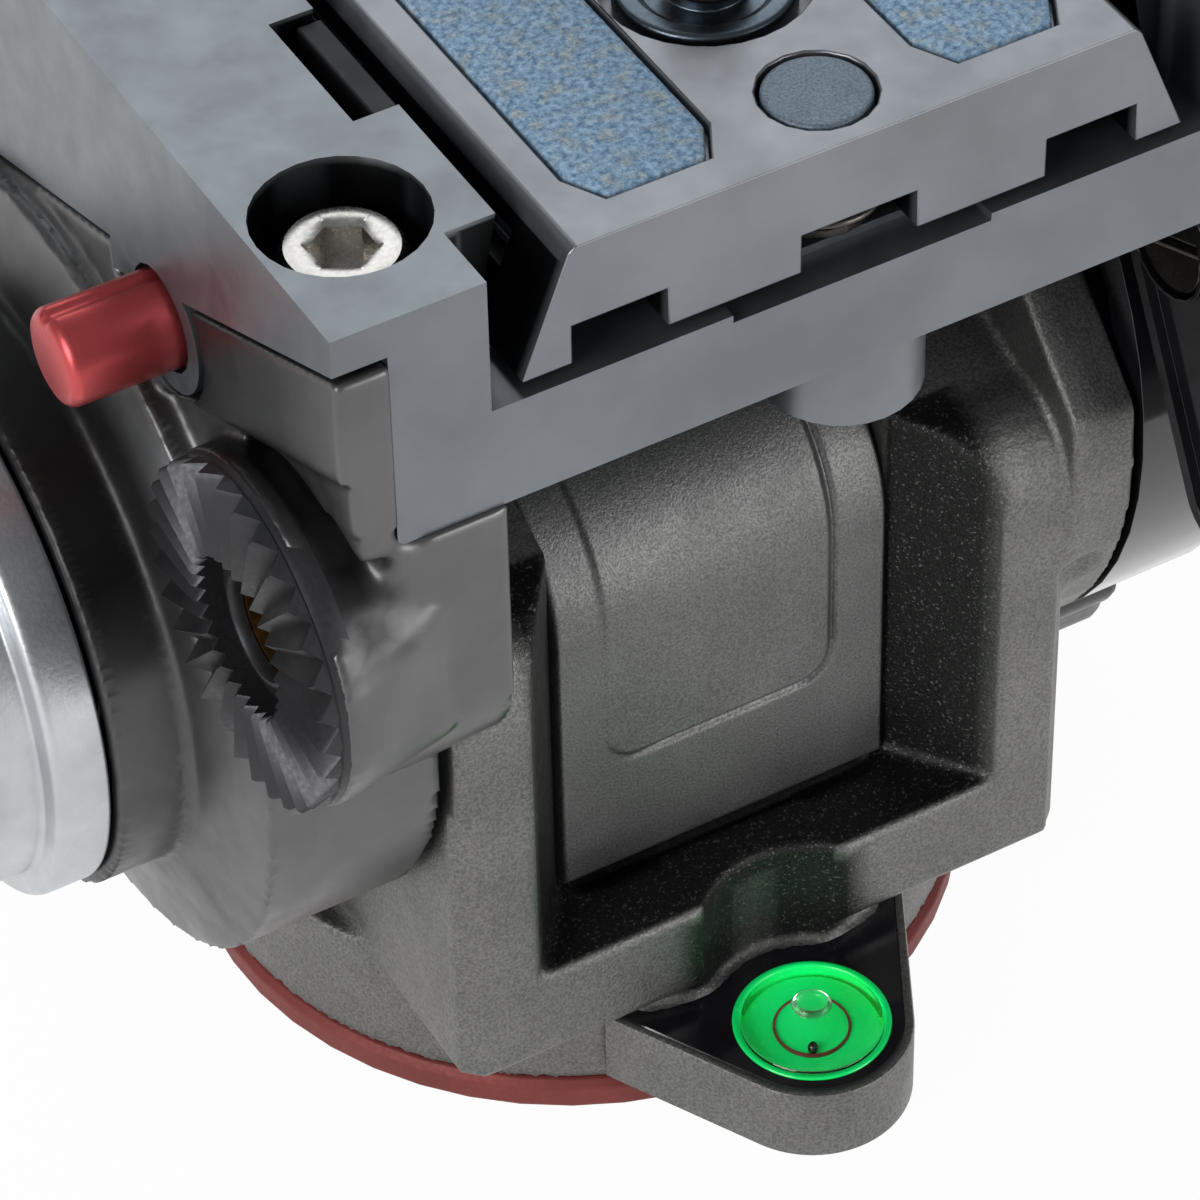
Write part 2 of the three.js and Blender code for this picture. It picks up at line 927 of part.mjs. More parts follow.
// Height of the parting line at a place along the flank
function partingHeight(y) {
  if (y < stepY) {
    const share = (y + cheek.rearReach) / (stepY + cheek.rearReach);
    return parting.rear + (parting.stepLow - parting.rear) * share;
  }
  const share = (y - stepY) / (cheek.frontReach - stepY);
  return parting.stepHigh + (parting.front - parting.stepHigh) * share;
}

// The cheek's arm under a straight top, or under the parting line
function armShape(topPoints) {
  const shape = new THREE.Shape();
  const rear = -cheek.rearReach;
  const half = cheek.rearCorner / 2;
  shape.moveTo(rear, cheek.rearLow + cheek.rearCorner);
  shape.quadraticCurveTo(rear, cheek.rearLow, rear + half, cheek.rearLow - half);
  shape.lineTo(-cheek.undersideReach, -cheek.undersideDrop);
  shape.lineTo(cheek.undersideReach, -cheek.undersideDrop);
  shape.lineTo(cheek.frontReach, cheek.frontCorner);
  topPoints.forEach((point) => shape.lineTo(...point));
  shape.closePath();
  return shape;
}

function partingPoints(lift) {
  return [
    [cheek.frontReach, partingHeight(cheek.frontReach) + lift],
    [stepY, parting.stepHigh + lift],
    [stepY, parting.stepLow + lift],
    [-cheek.rearReach, parting.rear + lift],
  ];
}

// A straight band under the parting line's rear run
function bandShape(low, high) {
  const slope = (parting.stepLow - parting.rear) / (stepY + cheek.rearReach);
  const near = -cheek.rearReach - overrun;
  const far = stepY - parting.gap;
  const heightAt = (y) => parting.rear + slope * (y + cheek.rearReach);
  return outline([
    [near, heightAt(near) - high],
    [far, heightAt(far) - high],
    [far, heightAt(far) - low],
    [near, heightAt(near) - low],
  ]);
}

function screwPlaces() {
  return [
    [-screw.x, screw.rearY],
    [-screw.x, screw.frontY],
    [screw.x, screw.rightRearY],
    [screw.x, screw.frontY],
  ];
}

const screwSeat = receiver.top - screw.headSunk - screw.headHeight;

function screwHole(x, y) {
  const low = screwSeat - screw.shankLength - seatGap;
  return joined(
    rod(screw.shankRadius + seatGap, low, screwSeat + overrun, sides.small, shift(x, y, 0)),
    rod(screw.counterbore, screwSeat, receiver.top + overrun, sides.medium, shift(x, y, 0)),
  );
}

function buttonRoom(gap, low, high) {
  return rod(
    button.radius + gap, low, high, sides.small, shift(0, button.y, button.rise).multiply(alongX),
  );
}

// Pocket of the button's spring and bore of its stem
function buttonBore() {
  const pocketEnd = -strip + button.pocketDepth;
  const place = shift(0, button.y, button.rise).multiply(alongX);
  return joined(
    rod(button.pocketRadius, -strip - overrun, pocketEnd, sides.small, place),
    rod(button.stemRadius + runGap, pocketEnd - overrun, -receiver.channelTop, sides.tiny, place),
  );
}

function rosetteBoss() {
  const top = rod(
    rosette.radius + rosette.bossRim, -rosette.bossTop, -rosette.seat,
    sides.large, shift(0, ...rosettePlace).multiply(alongX),
  );
  const foot = block(
    -cheek.outer + rosette.scoopDepth, -rosette.bossFoot,
    -cheek.rearReach, -rosette.reach + rosette.radius,
    rosette.rise - rosette.radius / 2, rosette.rise + rosette.radius / 2,
  );
  return wasm.Manifold.hull([top, foot]);
}

function leftCheek() {
  const flatTop = [[cheek.frontReach, receiver.underside], [-cheek.rearReach, receiver.underside]];
  const inner = acrossX(armShape(flatTop), -strip, -cheek.inner);
  const outer = acrossX(armShape(partingPoints(0)), -cheek.outer, -strip);
  const drum = placed(turned([
    [0, -cheek.drumFace - cheek.dishDepth],
    [cheek.collarRadius, -cheek.drumFace - cheek.dishDepth],
    [cheek.drumRadius, -cheek.drumFace],
    [cheek.drumRadius, -cheek.inner],
    [0, -cheek.inner],
  ], sides.large), alongX.clone());
  const collar = rod(
    cheek.collarRadius, -cheek.collarFace, -cheek.drumFace, sides.large, alongX.clone(),
  );
  const [rosetteY, rosetteZ] = rosettePlace;
  const scoopY = rosetteY - rosette.scoopShift;
  let body = joined(inner, outer, drum, collar);
  body = cut(
    body,
    rod(
      cheek.drumRadius - cheek.drumWall, -cheek.coreInner, -cheek.inner + overrun,
      sides.medium, alongX.clone(),
    ),
    rod(
      cheek.collarRadius - cheek.collarWall, -cheek.collarFace - overrun, -cheek.collarFloor,
      sides.medium, alongX.clone(),
    ),
    rod(
      axle.radius + seatGap, -cheek.collarFloor - overrun, -cheek.coreInner + overrun,
      sides.medium, alongX.clone(),
    ),
    rod(
      rosette.scoopRadius, -rosette.face - overrun, -cheek.outer + rosette.scoopDepth,
      sides.medium, shift(0, scoopY, rosetteZ).multiply(alongX),
    ),
    acrossX(
      bandShape(cheek.bandHeight, cheek.bandHeight + cheek.rearReach),
      -cheek.outer - overrun, -cheek.outer + cheek.bandDepth,
    ).intersect(acrossX(armShape(partingPoints(0)), -cheek.outer - overrun, -strip))
      .subtract(drum),
    buttonRoom(runGap, -cheek.outer - overrun, -strip + overrun),
    buttonBore(),
    rod(
      button.relief + parting.gap, -cheek.outer - overrun, -strip,
      sides.medium, shift(0, button.y, button.rise).multiply(alongX),
    ),
  );
  body = cut(joined(body, rosetteBoss()), rod(
    rosette.radius + seatGap, -rosette.face - overrun, -rosette.seat,
    sides.large, shift(0, ...rosettePlace).multiply(alongX),
  ));
  for (const [x, y] of screwPlaces().slice(0, 2)) {
    body = body.subtract(screwHole(x, y));
  }
  return body.subtract(rosetteScrewHole());
}

function rosetteScrewHole() {
  return rod(
    rosette.insertRadius + seatGap, -rosette.face, -strip + overrun,
    sides.small, shift(0, ...rosettePlace).multiply(alongX),
  );
}

// A toothed disc: flutes round its rim and V grooves across its face
function rosetteBody() {
  const count = 2 * rosette.teeth;
  const points = Array.from({ length: count }, (_, index) => {
    const angle = (index / count) * 2 * Math.PI;
    const reach = rosette.radius - (index % 2) * rosette.fluteDepth;
    return [reach * Math.cos(angle), reach * Math.sin(angle)];
  });
  const { seat } = rosette;
  let body = prism(outline(points), seat, rosette.face);
  const pitch = (2 * Math.PI * rosette.radius) / rosette.teeth;
  const wedge = outline([
    [0, rosette.face - rosette.toothDepth],
    [pitch / 2, rosette.face + seatGap],
    [-pitch / 2, rosette.face + seatGap],
  ]);
  for (let tooth = 0; tooth < rosette.teeth; tooth += 1) {
    const angle = ((tooth + 1 / 2) / rosette.teeth) * 2 * Math.PI;
    const groove = acrossY(wedge, 0, rosette.radius + overrun);
    const tilt = (Math.atan2(rosette.toothDepth, rosette.radius) * 180) / Math.PI;
    const lifted = groove
      .translate([0, 0, -rosette.face])
      .rotate([-tilt, 0, 0])
      .translate([0, 0, rosette.face + rosette.toothDepth])
      .rotate([0, 0, (angle * 180) / Math.PI]);
    body = body.subtract(lifted);
  }
  return cut(
    body,
    rod(rosette.recessRadius, rosette.face - rosette.recessDepth, rosette.face + overrun, sides.small),
    rod(rosette.insertRadius + seatGap, seat - overrun, rosette.face + overrun, sides.small),
  );
}

function rosetteInsert() {
  const low = strip + overrun;
  const high = rosette.face - rosette.recessDepth;
  return tube(rosette.insertBore, rosette.insertRadius, low, high, sides.small);
}

function atRosette(mesh) {
  mesh.position.set(0, ...rosettePlace);
  return mesh;
}

function tiltAxle() {
  const low = -cheek.collarFloor - axle.endOver;
  return rod(axle.radius, low, right.face, sides.medium, alongX.clone());
}

function dragRotor() {
  const high = -pan.halfWidth - drag.statorFlange - drag.rotorGap;
  const inner = axle.radius + seatGap;
  const outer = drag.statorRadius - drag.statorWall - drag.rotorGap;
  return tube(inner, outer, high - drag.rotorThickness, high, sides.medium, alongX.clone());
}

function capProfile(rimLow) {
  const step = rimLow + cap.rimWidth;
  const innerRadius = cap.radius - cap.wall;
  return [
    [innerRadius, rimLow],
    [cap.rimRadius, rimLow],
    [cap.rimRadius, step],
    [cap.radius, step],
    [cap.radius, cap.face - cap.edge],
    [cap.radius - cap.edge, cap.face],
    [0, cap.face],
    [0, cap.face - cap.wall],
    [innerRadius, cap.face - cap.wall],
  ];
}

function capSolid(rimLow) {
  const profile = capProfile(rimLow);
  return solidOf(turned([...profile, profile[0]], sides.large));
}

function rightCheek() {
  const shell = placed(turned([
    [0, right.inner],
    [right.radius, right.inner],
    [right.radius, right.face - right.edge],
    [right.radius - right.edge, right.face],
    [0, right.face],
  ], sides.large), alongX.clone());
  const armOuter = receiver.halfWidth;
  const arm = block(
    armOuter - right.armWidth, armOuter, -right.armHalfDepth, right.armHalfDepth,
    0, receiver.underside,
  );
  const lugLow = lever.inner + lever.thickness + runGap;
  const lugTurn = Math.atan2(lever.rise, -lever.reach);
  const bridge = outline([
    [0, -right.lugRadius],
    [0, right.lugRadius],
    [Math.hypot(lever.reach, lever.rise), right.lugRadius],
    [Math.hypot(lever.reach, lever.rise), -right.lugRadius],
  ]);
  const turnedBridge = acrossX(bridge, lugLow, right.face)
    .rotate([(lugTurn * 180) / Math.PI, 0, 0]);
  const lugEnd = rod(
    right.lugRadius, lugLow, right.face, sides.small,
    shift(0, -lever.reach, lever.rise).multiply(alongX),
  );
  let body = cut(
    joined(shell, arm, turnedBridge, lugEnd),
    rod(right.radius - right.wall, right.inner - overrun, right.coreInner, sides.medium, alongX.clone()),
    rod(axle.radius + seatGap, right.inner, right.face + overrun, sides.medium, alongX.clone()),
    rod(
      lever.screwRadius + seatGap, lever.inner, right.face + overrun, sides.tiny,
      shift(0, -lever.reach, lever.rise).multiply(alongX),
    ),
  );
  for (const [x, y] of screwPlaces().slice(2)) {
    body = body.subtract(screwHole(x, y));
  }
  return body;
}

// The lever is drawn hanging straight down from its hub, then leaned
function leverShape(inset) {
  const hub = lever.hubRadius - inset;
  const tip = lever.tipWidth / 2 - inset;
  const root = lever.rootWidth / 2 - inset;
  const shape = new THREE.Shape();
  shape.moveTo(tip, -lever.length);
  shape.lineTo(root, 0);
  shape.lineTo(hub, 0);
  shape.absarc(0, 0, hub, 0, Math.PI, false);
  shape.lineTo(-root, 0);
  shape.lineTo(-tip, -lever.length);
  shape.absarc(0, -lever.length, tip, Math.PI, 2 * Math.PI, false);
  shape.closePath();
  return shape;
}

function lockLever() {
  const top = lever.thickness;
  const body = prism(leverShape(0), 0, top, alongX.clone(), 6);
  const sunk = prism(leverShape(lever.panelRim), -overrun, lever.panelDepth, alongX.clone(), 6);
  const hubRing = rod(lever.hubRing, -overrun - overrun, top, sides.small, alongX.clone());
  return cut(
    body.subtract(sunk.subtract(hubRing)),
    rod(
      lever.screwHeadRadius + seatGap, -overrun, lever.screwHeadHeight + seatGap,
      sides.small, alongX.clone(),
    ),
    rod(lever.screwRadius + runGap, -overrun, top + overrun, sides.tiny, alongX.clone()),
  );
}

function lockLeverScrew() {
  const headLow = seatGap;
  const head = rod(lever.screwHeadRadius, headLow, lever.screwHeadHeight, sides.small, alongX.clone());
  const shank = rod(
    lever.screwRadius, headLow, lever.thickness + right.face - right.coreInner, sides.tiny,
    alongX.clone(),
  );
  const slot = block(
    headLow - overrun, headLow + overrun, -lever.screwHeadRadius - overrun,
    lever.screwHeadRadius + overrun, -lever.panelDepth / 2, lever.panelDepth / 2,
  );
  return joined(head, shank).subtract(slot);
}

// Receiver

function flankInnerAt(height) {
  const low = plate.halfWidth + runGap + seatGap;
  const share = (height - channelFloor) / (receiver.top - channelFloor);
  return low + (receiver.channelTop - low) * share;
}

function receiverSection() {
  return outline([
    [-receiver.halfWidth, receiver.underside],
    [receiver.halfWidth, receiver.underside],
    [receiver.halfWidth, receiver.top],
    [receiver.channelTop, receiver.top],
    [flankInnerAt(channelFloor), channelFloor],
    [-flankInnerAt(channelFloor), channelFloor],
    [-receiver.channelTop, receiver.top],
    [-receiver.halfWidth, receiver.top],
  ]);
}

// The left flank's skirt outside the cheek, down to the parting line
function leftSkirt() {
  const tab = rod(
    button.relief, -receiver.halfWidth, -strip - seatGap,
    sides.medium, shift(0, button.y, button.rise).multiply(alongX),
  );
  const points = partingPoints(parting.gap);
  const [frontY, frontZ] = points[0];
  const shape = outline([
    [receiver.halfLength, frontZ],
    [frontY, frontZ],
    ...points.slice(1),
    [-cheek.rearReach, receiver.top - overrun],
    [receiver.halfLength, receiver.top - overrun],
  ]);
  const limits = block(
    -receiver.halfWidth, -strip - seatGap, -receiver.halfLength, receiver.halfLength,
    0, receiver.top - overrun,
  );
  return joined(acrossX(shape, -receiver.halfWidth, -strip - seatGap).intersect(limits), tab);
}

// Room for the cheek's strip, which stands outside the receiver's rear wall
function stripRoom() {
  const points = partingPoints(parting.gap);
  const shape = outline([
    [cheek.frontReach, 0],
    ...points,
    [-cheek.rearReach - overrun, parting.rear + parting.gap],
    [-cheek.rearReach - overrun, 0],
  ]);
  return acrossX(shape, -receiver.halfWidth - overrun, -strip);
}

function jawPocket() {
  const low = clamp.rise - clamp.jawHeight / 2 - runGap;
  const high = clamp.rise + clamp.jawHeight / 2 + runGap;
  const outer = flankInnerAt(clamp.rise) + clamp.jawWidth + seatGap;
  return block(
    receiver.channelTop - overrun, outer,
    clamp.y - clamp.jawLength / 2 - runGap, clamp.y + clamp.jawLength / 2 + runGap, low, high,
  );
}

function receiverBody() {
  const half = receiver.halfLength;
  const lipTop = channelFloor - receiver.lipDrop;
  const notchInner = receiver.channelTop + receiver.endNotchDepth;
  let body = acrossY(receiverSection(), -half, half);
  body = joined(
    body.subtract(stripRoom()),
    leftSkirt(),
    rod(
      receiver.bossRadius, receiver.underside - receiver.bossLength, receiver.underside + overrun,
      sides.medium, shift(receiver.bossX, receiver.bossY, 0),
    ),
  );
  const wide = flankInnerAt(channelFloor);
  body = cut(
    body,
    block(-wide, wide, -half - overrun, -half + receiver.lipLength, lipTop, receiver.top),
    block(
      -receiver.lipSagHalfWidth, receiver.lipSagHalfWidth, -half - overrun,
      -half + receiver.lipLength, lipTop - receiver.lipSag, receiver.top,
    ),
    block(
      -notchInner, notchInner, -half - overrun, -half + receiver.endNotchLength,
      lipTop, receiver.top + overrun,
    ),
    block(
      -receiver.channelTop - receiver.slotDepth, -receiver.channelTop + overrun,
      receiver.slotLow, receiver.slotHigh, channelFloor - overrun, receiver.top + overrun,
    ),
    buttonBore(),
    buttonRoom(runGap, -receiver.halfWidth - overrun, -strip),
    jawPocket(),
    rod(
      clamp.studRadius + seatGap, receiver.channelTop, receiver.halfWidth + overrun,
      sides.tiny, shift(0, clamp.y, clamp.rise).multiply(alongX),
    ),
  );
  for (const [x, y] of screwPlaces()) {
    body = body.subtract(screwHole(x, y));
  }
  return body;
}

function socketScrew() {
  const head = edgedRod(screw.headRadius, 0, screw.headHeight, seatGap, sides.small);
  const shank = rod(screw.shankRadius, -screw.shankLength, overrun, sides.tiny);
  const hex = prism(hexagon(screw.hexWidth), screw.headHeight - screw.hexDepth, screw.headHeight + overrun);
  return joined(head, shank).subtract(hex);
}

// Clamp of the sliding plate

function clampJaw() {
  const low = clamp.rise - clamp.jawHeight / 2;
  const high = clamp.rise + clamp.jawHeight / 2;
  const outer = flankInnerAt(clamp.rise) + clamp.jawWidth;
  const face = (height) => plateSideAt(height) + clamp.jawTravel + runGap;
  const shape = outline([
    [face(low), low],
    [outer, low],
    [outer, high],
    [face(high), high],
  ]);
  return acrossY(shape, clamp.y - clamp.jawLength / 2, clamp.y + clamp.jawLength / 2);
}

function atClamp(mesh) {
  mesh.position.set(0, clamp.y, clamp.rise);
  return mesh;
}

const clampStudLow = flankInnerAt(clamp.rise) + clamp.jawWidth + seatGap;
const clampNeckLow = receiver.halfWidth + seatGap;

function clampStud() {
  return rod(clamp.studRadius, clampStudLow, clampNeckLow, sides.tiny, alongX.clone());
}

function clampKnob() {
  const gripLow = clampNeckLow + clamp.neckLength;
  return joined(
    rod(clamp.neckRadius, clampNeckLow, gripLow + overrun, sides.small, alongX.clone()),
    lobedGrip(
      clamp.knobRadius, clamp.knobLobeDepth, clamp.knobLobes,
      gripLow, gripLow + clamp.knobLength, alongX.clone(),
    ),
  );
}

// Safety button on the left flank and the catch that it draws back

function atButton(mesh) {
  mesh.position.set(0, button.y, button.rise);
  return mesh;
}

const buttonBack = cheek.outer - button.backLength;

function safetyButton() {
  const tip = cheek.outer + button.length;
  const stemTip = buttonBack - button.stemLength;
  const head = edgedRod(button.radius, -tip, -buttonBack, button.edge, sides.medium, alongX.clone());
  const stem = rod(button.stemRadius, -buttonBack - overrun, -stemTip, sides.tiny, alongX.clone());
  const groove = block(
    -tip - overrun, -cheek.outer, -button.groove / 2, button.groove / 2,
    button.radius - button.grooveDepth, button.radius + overrun,
  );
  return joined(head, stem).subtract(groove);
}

function safetyCatchBody() {
  const inner = -plateSideAt(safetyCatch.low) - runGap;
  const outer = inner - safetyCatch.width;
  const middle = (receiver.slotLow + receiver.slotHigh) / 2;
  const half = (receiver.slotHigh - receiver.slotLow) / 2 - runGap;
  return joined(
    block(
      outer, inner, middle - half, middle + half,
      safetyCatch.low, safetyCatch.high,
    ),
    block(
      inner - overrun, inner + safetyCatch.noseReach, middle - half / 2, middle + half / 2,
      safetyCatch.low, safetyCatch.low + safetyCatch.noseHeight,
    ),
  );
}

// Sliding plate. Its own frame of reference has its underside at z = 0.

function plateSideAt(height) {
  const share = (height - plateLow) / plate.thickness;
  return plate.halfWidth + (plate.topHalfWidth - plate.halfWidth) * share;
}

function plateSection() {
  const { halfWidth, grooveDepth, grooveHalfWidth, grooveSideNear, grooveSideFar } = plate;
  const rightSide = [
    [grooveHalfWidth, grooveDepth],
    [grooveHalfWidth, 0],
    [grooveSideNear, 0],
    [grooveSideNear, grooveDepth],
    [grooveSideFar, grooveDepth],
    [grooveSideFar, 0],
    [halfWidth, 0],
    [plate.topHalfWidth, plate.thickness - plate.topEdge],
    [plate.topHalfWidth - plate.topEdge, plate.thickness],
  ];
  const leftSide = rightSide.map(([x, z]) => [-x, z]).reverse();
  return outline([...rightSide, ...leftSide]);
}

function padShape(gap) {
  const near = plate.padNear + gap;
  const far = plate.padFar - gap;
  const rear = plate.padRear + gap;
  const front = plate.padRear + plate.padLength - gap;
  const { padCorner, padCornerWidth } = plate;
  return outline([
    [near + padCornerWidth, rear],
    [far - padCornerWidth, rear],
    [far, rear + padCorner],
    [far, front - padCorner],
    [far - padCornerWidth, front],
    [near + padCornerWidth, front],
    [near, front - padCorner],
    [near, rear + padCorner],
  ]);
}

function mirroredX(solid) {
  const geometry = geometryOf(solid);
  geometry.rotateZ(Math.PI);
  const centre = plate.padRear + plate.padLength / 2;
  geometry.translate(0, centre + centre, 0);
  return solidOf(geometry);
}

function padSolid(gap, low, high) {
  return prism(padShape(gap), low, high);
}

// Groove in the plate's left flank that the catch's nose runs in
function catchGroove() {
  const wall = -plateSideAt(safetyCatch.low) + safetyCatch.noseReach;
  const low = safetyCatch.low - plateLow - runGap;
  return block(
    -plate.halfWidth - overrun, wall,
    plate.rear + plate.grooveEnd, plate.rear + plate.length - plate.grooveEnd,
    low, low + safetyCatch.noseHeight + runGap + runGap,
  );
}

function slidePlate() {
  const { thickness } = plate;
  const padRoom = padSolid(0, thickness - plate.padDepth, thickness + overrun);
  return cut(
    acrossY(plateSection(), plate.rear, plate.rear + plate.length),
    padRoom,
    mirroredX(padRoom),
    catchGroove(),
    rod(
      cameraScrew.recessRadius, thickness - cameraScrew.recessDepth, thickness + overrun,
      sides.medium, shift(0, cameraScrew.y, 0),
    ),
    rod(
      cameraScrew.headRadius + runGap, -overrun, cameraScrew.headHeight + runGap,
      sides.medium, shift(0, cameraScrew.y, 0),
    ),
    rod(
      cameraScrew.shankRadius + runGap, -overrun, thickness + overrun,
      sides.small, shift(0, cameraScrew.y, 0),
    ),
    rod(pin.hole, -overrun, thickness + overrun, sides.small, shift(0, pin.y, 0)),
  );
}

function cameraScrewBody() {
  const collarLow = plate.thickness - cameraScrew.recessDepth + seatGap;
  const collarTop = plate.thickness - seatGap;
  const body = solidOf(turned([
    [0, seatGap],
    [cameraScrew.headRadius, seatGap],
    [cameraScrew.headRadius, cameraScrew.headHeight],
    [cameraScrew.shankRadius, cameraScrew.headHeight],
    [cameraScrew.shankRadius, collarLow],
    [cameraScrew.collarRadius, collarLow],
    [cameraScrew.collarRadius, collarTop],
    [cameraScrew.threadRadius, collarTop],
    [cameraScrew.threadRadius, plate.thickness + cameraScrew.threadRise - seatGap],
    [cameraScrew.threadRadius - seatGap, plate.thickness + cameraScrew.threadRise],
    [0, plate.thickness + cameraScrew.threadRise],
  ], sides.medium));
  const half = cameraScrew.slotWidth / 2;
  const reach = cameraScrew.headRadius + overrun;
  return body.subtract(block(-reach, reach, -half, half, 0, cameraScrew.slotDepth));
}

const pinHeadLow = plate.thickness - pin.headHeight;
const pinSeatTop = pin.seatHeight + pin.seatThickness;

function antiTwistPin() {
  return solidOf(turned([
    [0, pinHeadLow - pin.stemLength],
    [pin.stemRadius, pinHeadLow - pin.stemLength],
    [pin.stemRadius, pinHeadLow],
    [pin.radius, pinHeadLow],
    [pin.radius, plate.thickness - seatGap],
    [pin.radius - seatGap, plate.thickness],
    [0, plate.thickness],
  ], sides.small));
}

function pinSeat() {
  return tube(
    pin.stemRadius + runGap, pin.hole - seatGap, pin.seatHeight, pinSeatTop, sides.small,
  );
}

// Assembly

function group(...children) {
  const whole = new THREE.Group();
  whole.add(...children);
  return whole;
}

function baseGroup() {
  const screws = baseScrewPlaces().map(([x, y], index) => {
    const mesh = baseScrew(x, y);
    mesh.name = `base_screw_${index + 1}`;
    return mesh;
  });
  return group(
    piece('base_plate', basePlate(), finishes.redAnodised),
    piece('tripod_socket', tripodSocket(), finishes.steel),
    piece('pan_spindle', panSpindle(), finishes.steel),
    ...screws,
    piece('pan_thrust_washer', thrustWasher(), finishes.bronze),
    piece('spindle_washer', spindleWasher(), finishes.steel),
    piece('spindle_nut', spindleNut(), finishes.steel),
  );
}

function panGroup() {
  const bushFar = pan.halfWidth + pan.bossWidth;
  const axleParts = group(
    piece('tilt_bush_left', tiltBush(-pan.halfWidth, -pan.halfWidth + bush.tiltLength), finishes.bronze),
    piece('tilt_bush_right', tiltBush(bushFar - bush.tiltLength, bushFar), finishes.bronze),
    piece('tilt_drag_stator', dragStator(), finishes.steel),
  );
  axleParts.position.z = tiltAxisHeight;
  const lockParts = group(
    piece('pan_brake_pad', panBrakePad(), finishes.blackPlastic),
    piece('pan_lock_stud', panLockStud(), finishes.steel),
    piece('pan_lock_knob', panLockKnob(), finishes.blackPlastic),
  );
  lockParts.position.z = panLock.height;
  return group(
    piece('pan_body', panBody(), finishes.grainedCasting),
    piece('rear_panel', rearPanel(), finishes.fineCasting),
    piece('vial_plate', vialPlate(), finishes.glossBlack),
    piece('vial', roundVial(), finishes.greenVial),
    piece('pan_bush', panBush(), finishes.bronze),
    piece('pan_drag_disc', panDragDisc(), finishes.darkSteel),
    axleParts,
    lockParts,
  );
}

function coilPiece(name, sizes, length, material) {
  console.log(`${name}: least gap between turns ${coilGap(sizes, length).toFixed(3)} mm`);
  return piece(name, coil(sizes, length), material);
}

function plateGroup() {
  const pad = padSolid(seatGap, plate.thickness - plate.padDepth, plate.thickness - plate.padSunk);
  const screwMesh = piece('camera_screw', cameraScrewBody(), finishes.darkSteel);
  screwMesh.position.y = cameraScrew.y;
  const springLength = pinHeadLow - pinSeatTop - seatGap;
  const springMesh = coilPiece('pin_spring', pinSpring, springLength, finishes.darkSteel);
  springMesh.position.z = pinSeatTop + seatGap / 2;
  const pinParts = group(
    piece('anti_twist_pin', antiTwistPin(), finishes.pinBlue),
    piece('pin_seat', pinSeat(), finishes.darkSteel),
    springMesh,
  );
  pinParts.position.y = pin.y;
  const whole = group(
    piece('slide_plate', slidePlate(), finishes.plateSatin),
    piece('pad_right', pad, finishes.rubberPad),
    piece('pad_left', mirroredX(pad), finishes.rubberPad),
    screwMesh,
    pinParts,
  );
  whole.position.z = plateLow;
  return whole;
}

function tiltGroup() {
  const screws = screwPlaces().map(([x, y], index) => {
    const mesh = piece(`receiver_screw_${index + 1}`, socketScrew(), finishes.steel);
    mesh.position.set(x, y, screwSeat);
    return mesh;
  });
  const leftCap = piece('left_cap', capSolid(cheek.collarFace + seatGap), finishes.silver);
  leftCap.rotation.y = -Math.PI / 2;
  const rightCap = piece('right_cap', capSolid(right.face + seatGap), finishes.blackPlastic);
  rightCap.rotation.y = Math.PI / 2;
  const balanceLength = cap.face - cap.wall - cheek.collarFloor - seatGap - seatGap;
  const balance = coilPiece('counterbalance_spring', spring, balanceLength, finishes.darkSteel);
  balance.rotation.y = -Math.PI / 2;
  balance.position.x = -cheek.collarFloor - seatGap;
  const toothed = piece('rosette', rosetteBody(), finishes.fineCasting);
  const insert = piece('rosette_insert', rosetteInsert(), finishes.brass);
  for (const mesh of [toothed, insert]) {
    atRosette(mesh);
    mesh.rotation.y = -Math.PI / 2;
  }
  const leverParts = group(
    piece('tilt_lock_lever', lockLever(), finishes.glossBlack),
    piece('tilt_lock_screw', lockLeverScrew(), finishes.darkSteel),
  );
  leverParts.position.set(lever.inner, -lever.reach, lever.rise);
  leverParts.rotation.x = -Math.atan(lever.lean);
  const returnSpring = coilPiece(
    'button_spring', buttonSpring,
    buttonBack - strip + button.pocketDepth - seatGap, finishes.darkSteel,
  );
  returnSpring.rotation.y = -Math.PI / 2;
  returnSpring.position.set(-strip + button.pocketDepth - seatGap / 2, button.y, button.rise);
  const whole = group(
    piece('tilt_axle', tiltAxle(), finishes.steel),
    piece('left_cheek', leftCheek(), finishes.satinCasting),
    piece('right_cheek', rightCheek(), finishes.glossBlack),
    piece('tilt_drag_rotor', dragRotor(), finishes.steel),
    balance,
    leftCap,
    rightCap,
    toothed,
    insert,
    leverParts,
    piece('receiver', receiverBody(), finishes.satinCasting),
    ...screws,
    piece('clamp_jaw', clampJaw(), finishes.steel),
    atClamp(piece('plate_lock_stud', clampStud(), finishes.steel)),
    atClamp(piece('plate_lock_knob', clampKnob(), finishes.blackPlastic)),
    atButton(piece('safety_button', safetyButton(), finishes.redButton)),
    piece('safety_catch', safetyCatchBody(), finishes.steel),
    returnSpring,
    plateGroup(),
  );
  whole.position.z = tiltAxisHeight;
  return whole;
}

// The origin is at the middle of the head's footprint, on the tripod's face
const rearEnd = -lug.reach - lug.endRadius;
const frontEnd = plate.rear + plate.length;
const head = group(baseGroup(), panGroup(), tiltGroup());
head.position.y = -(rearEnd + frontEnd) / 2;
head.updateMatrixWorld(true);

export default head;
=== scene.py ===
"""Looks of a fluid video head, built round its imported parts.

Lengths in the classes below are millimetres where nothing else is said. The pan axis is
upright at PAN_AXIS_Y, the tilt axis runs along X at TILT_HEIGHT, and -Y is the rear.
"""

import logging
import math
from collections.abc import Callable
from dataclasses import dataclass
from enum import Enum

import bmesh
import bpy
from mathutils import Matrix, Vector

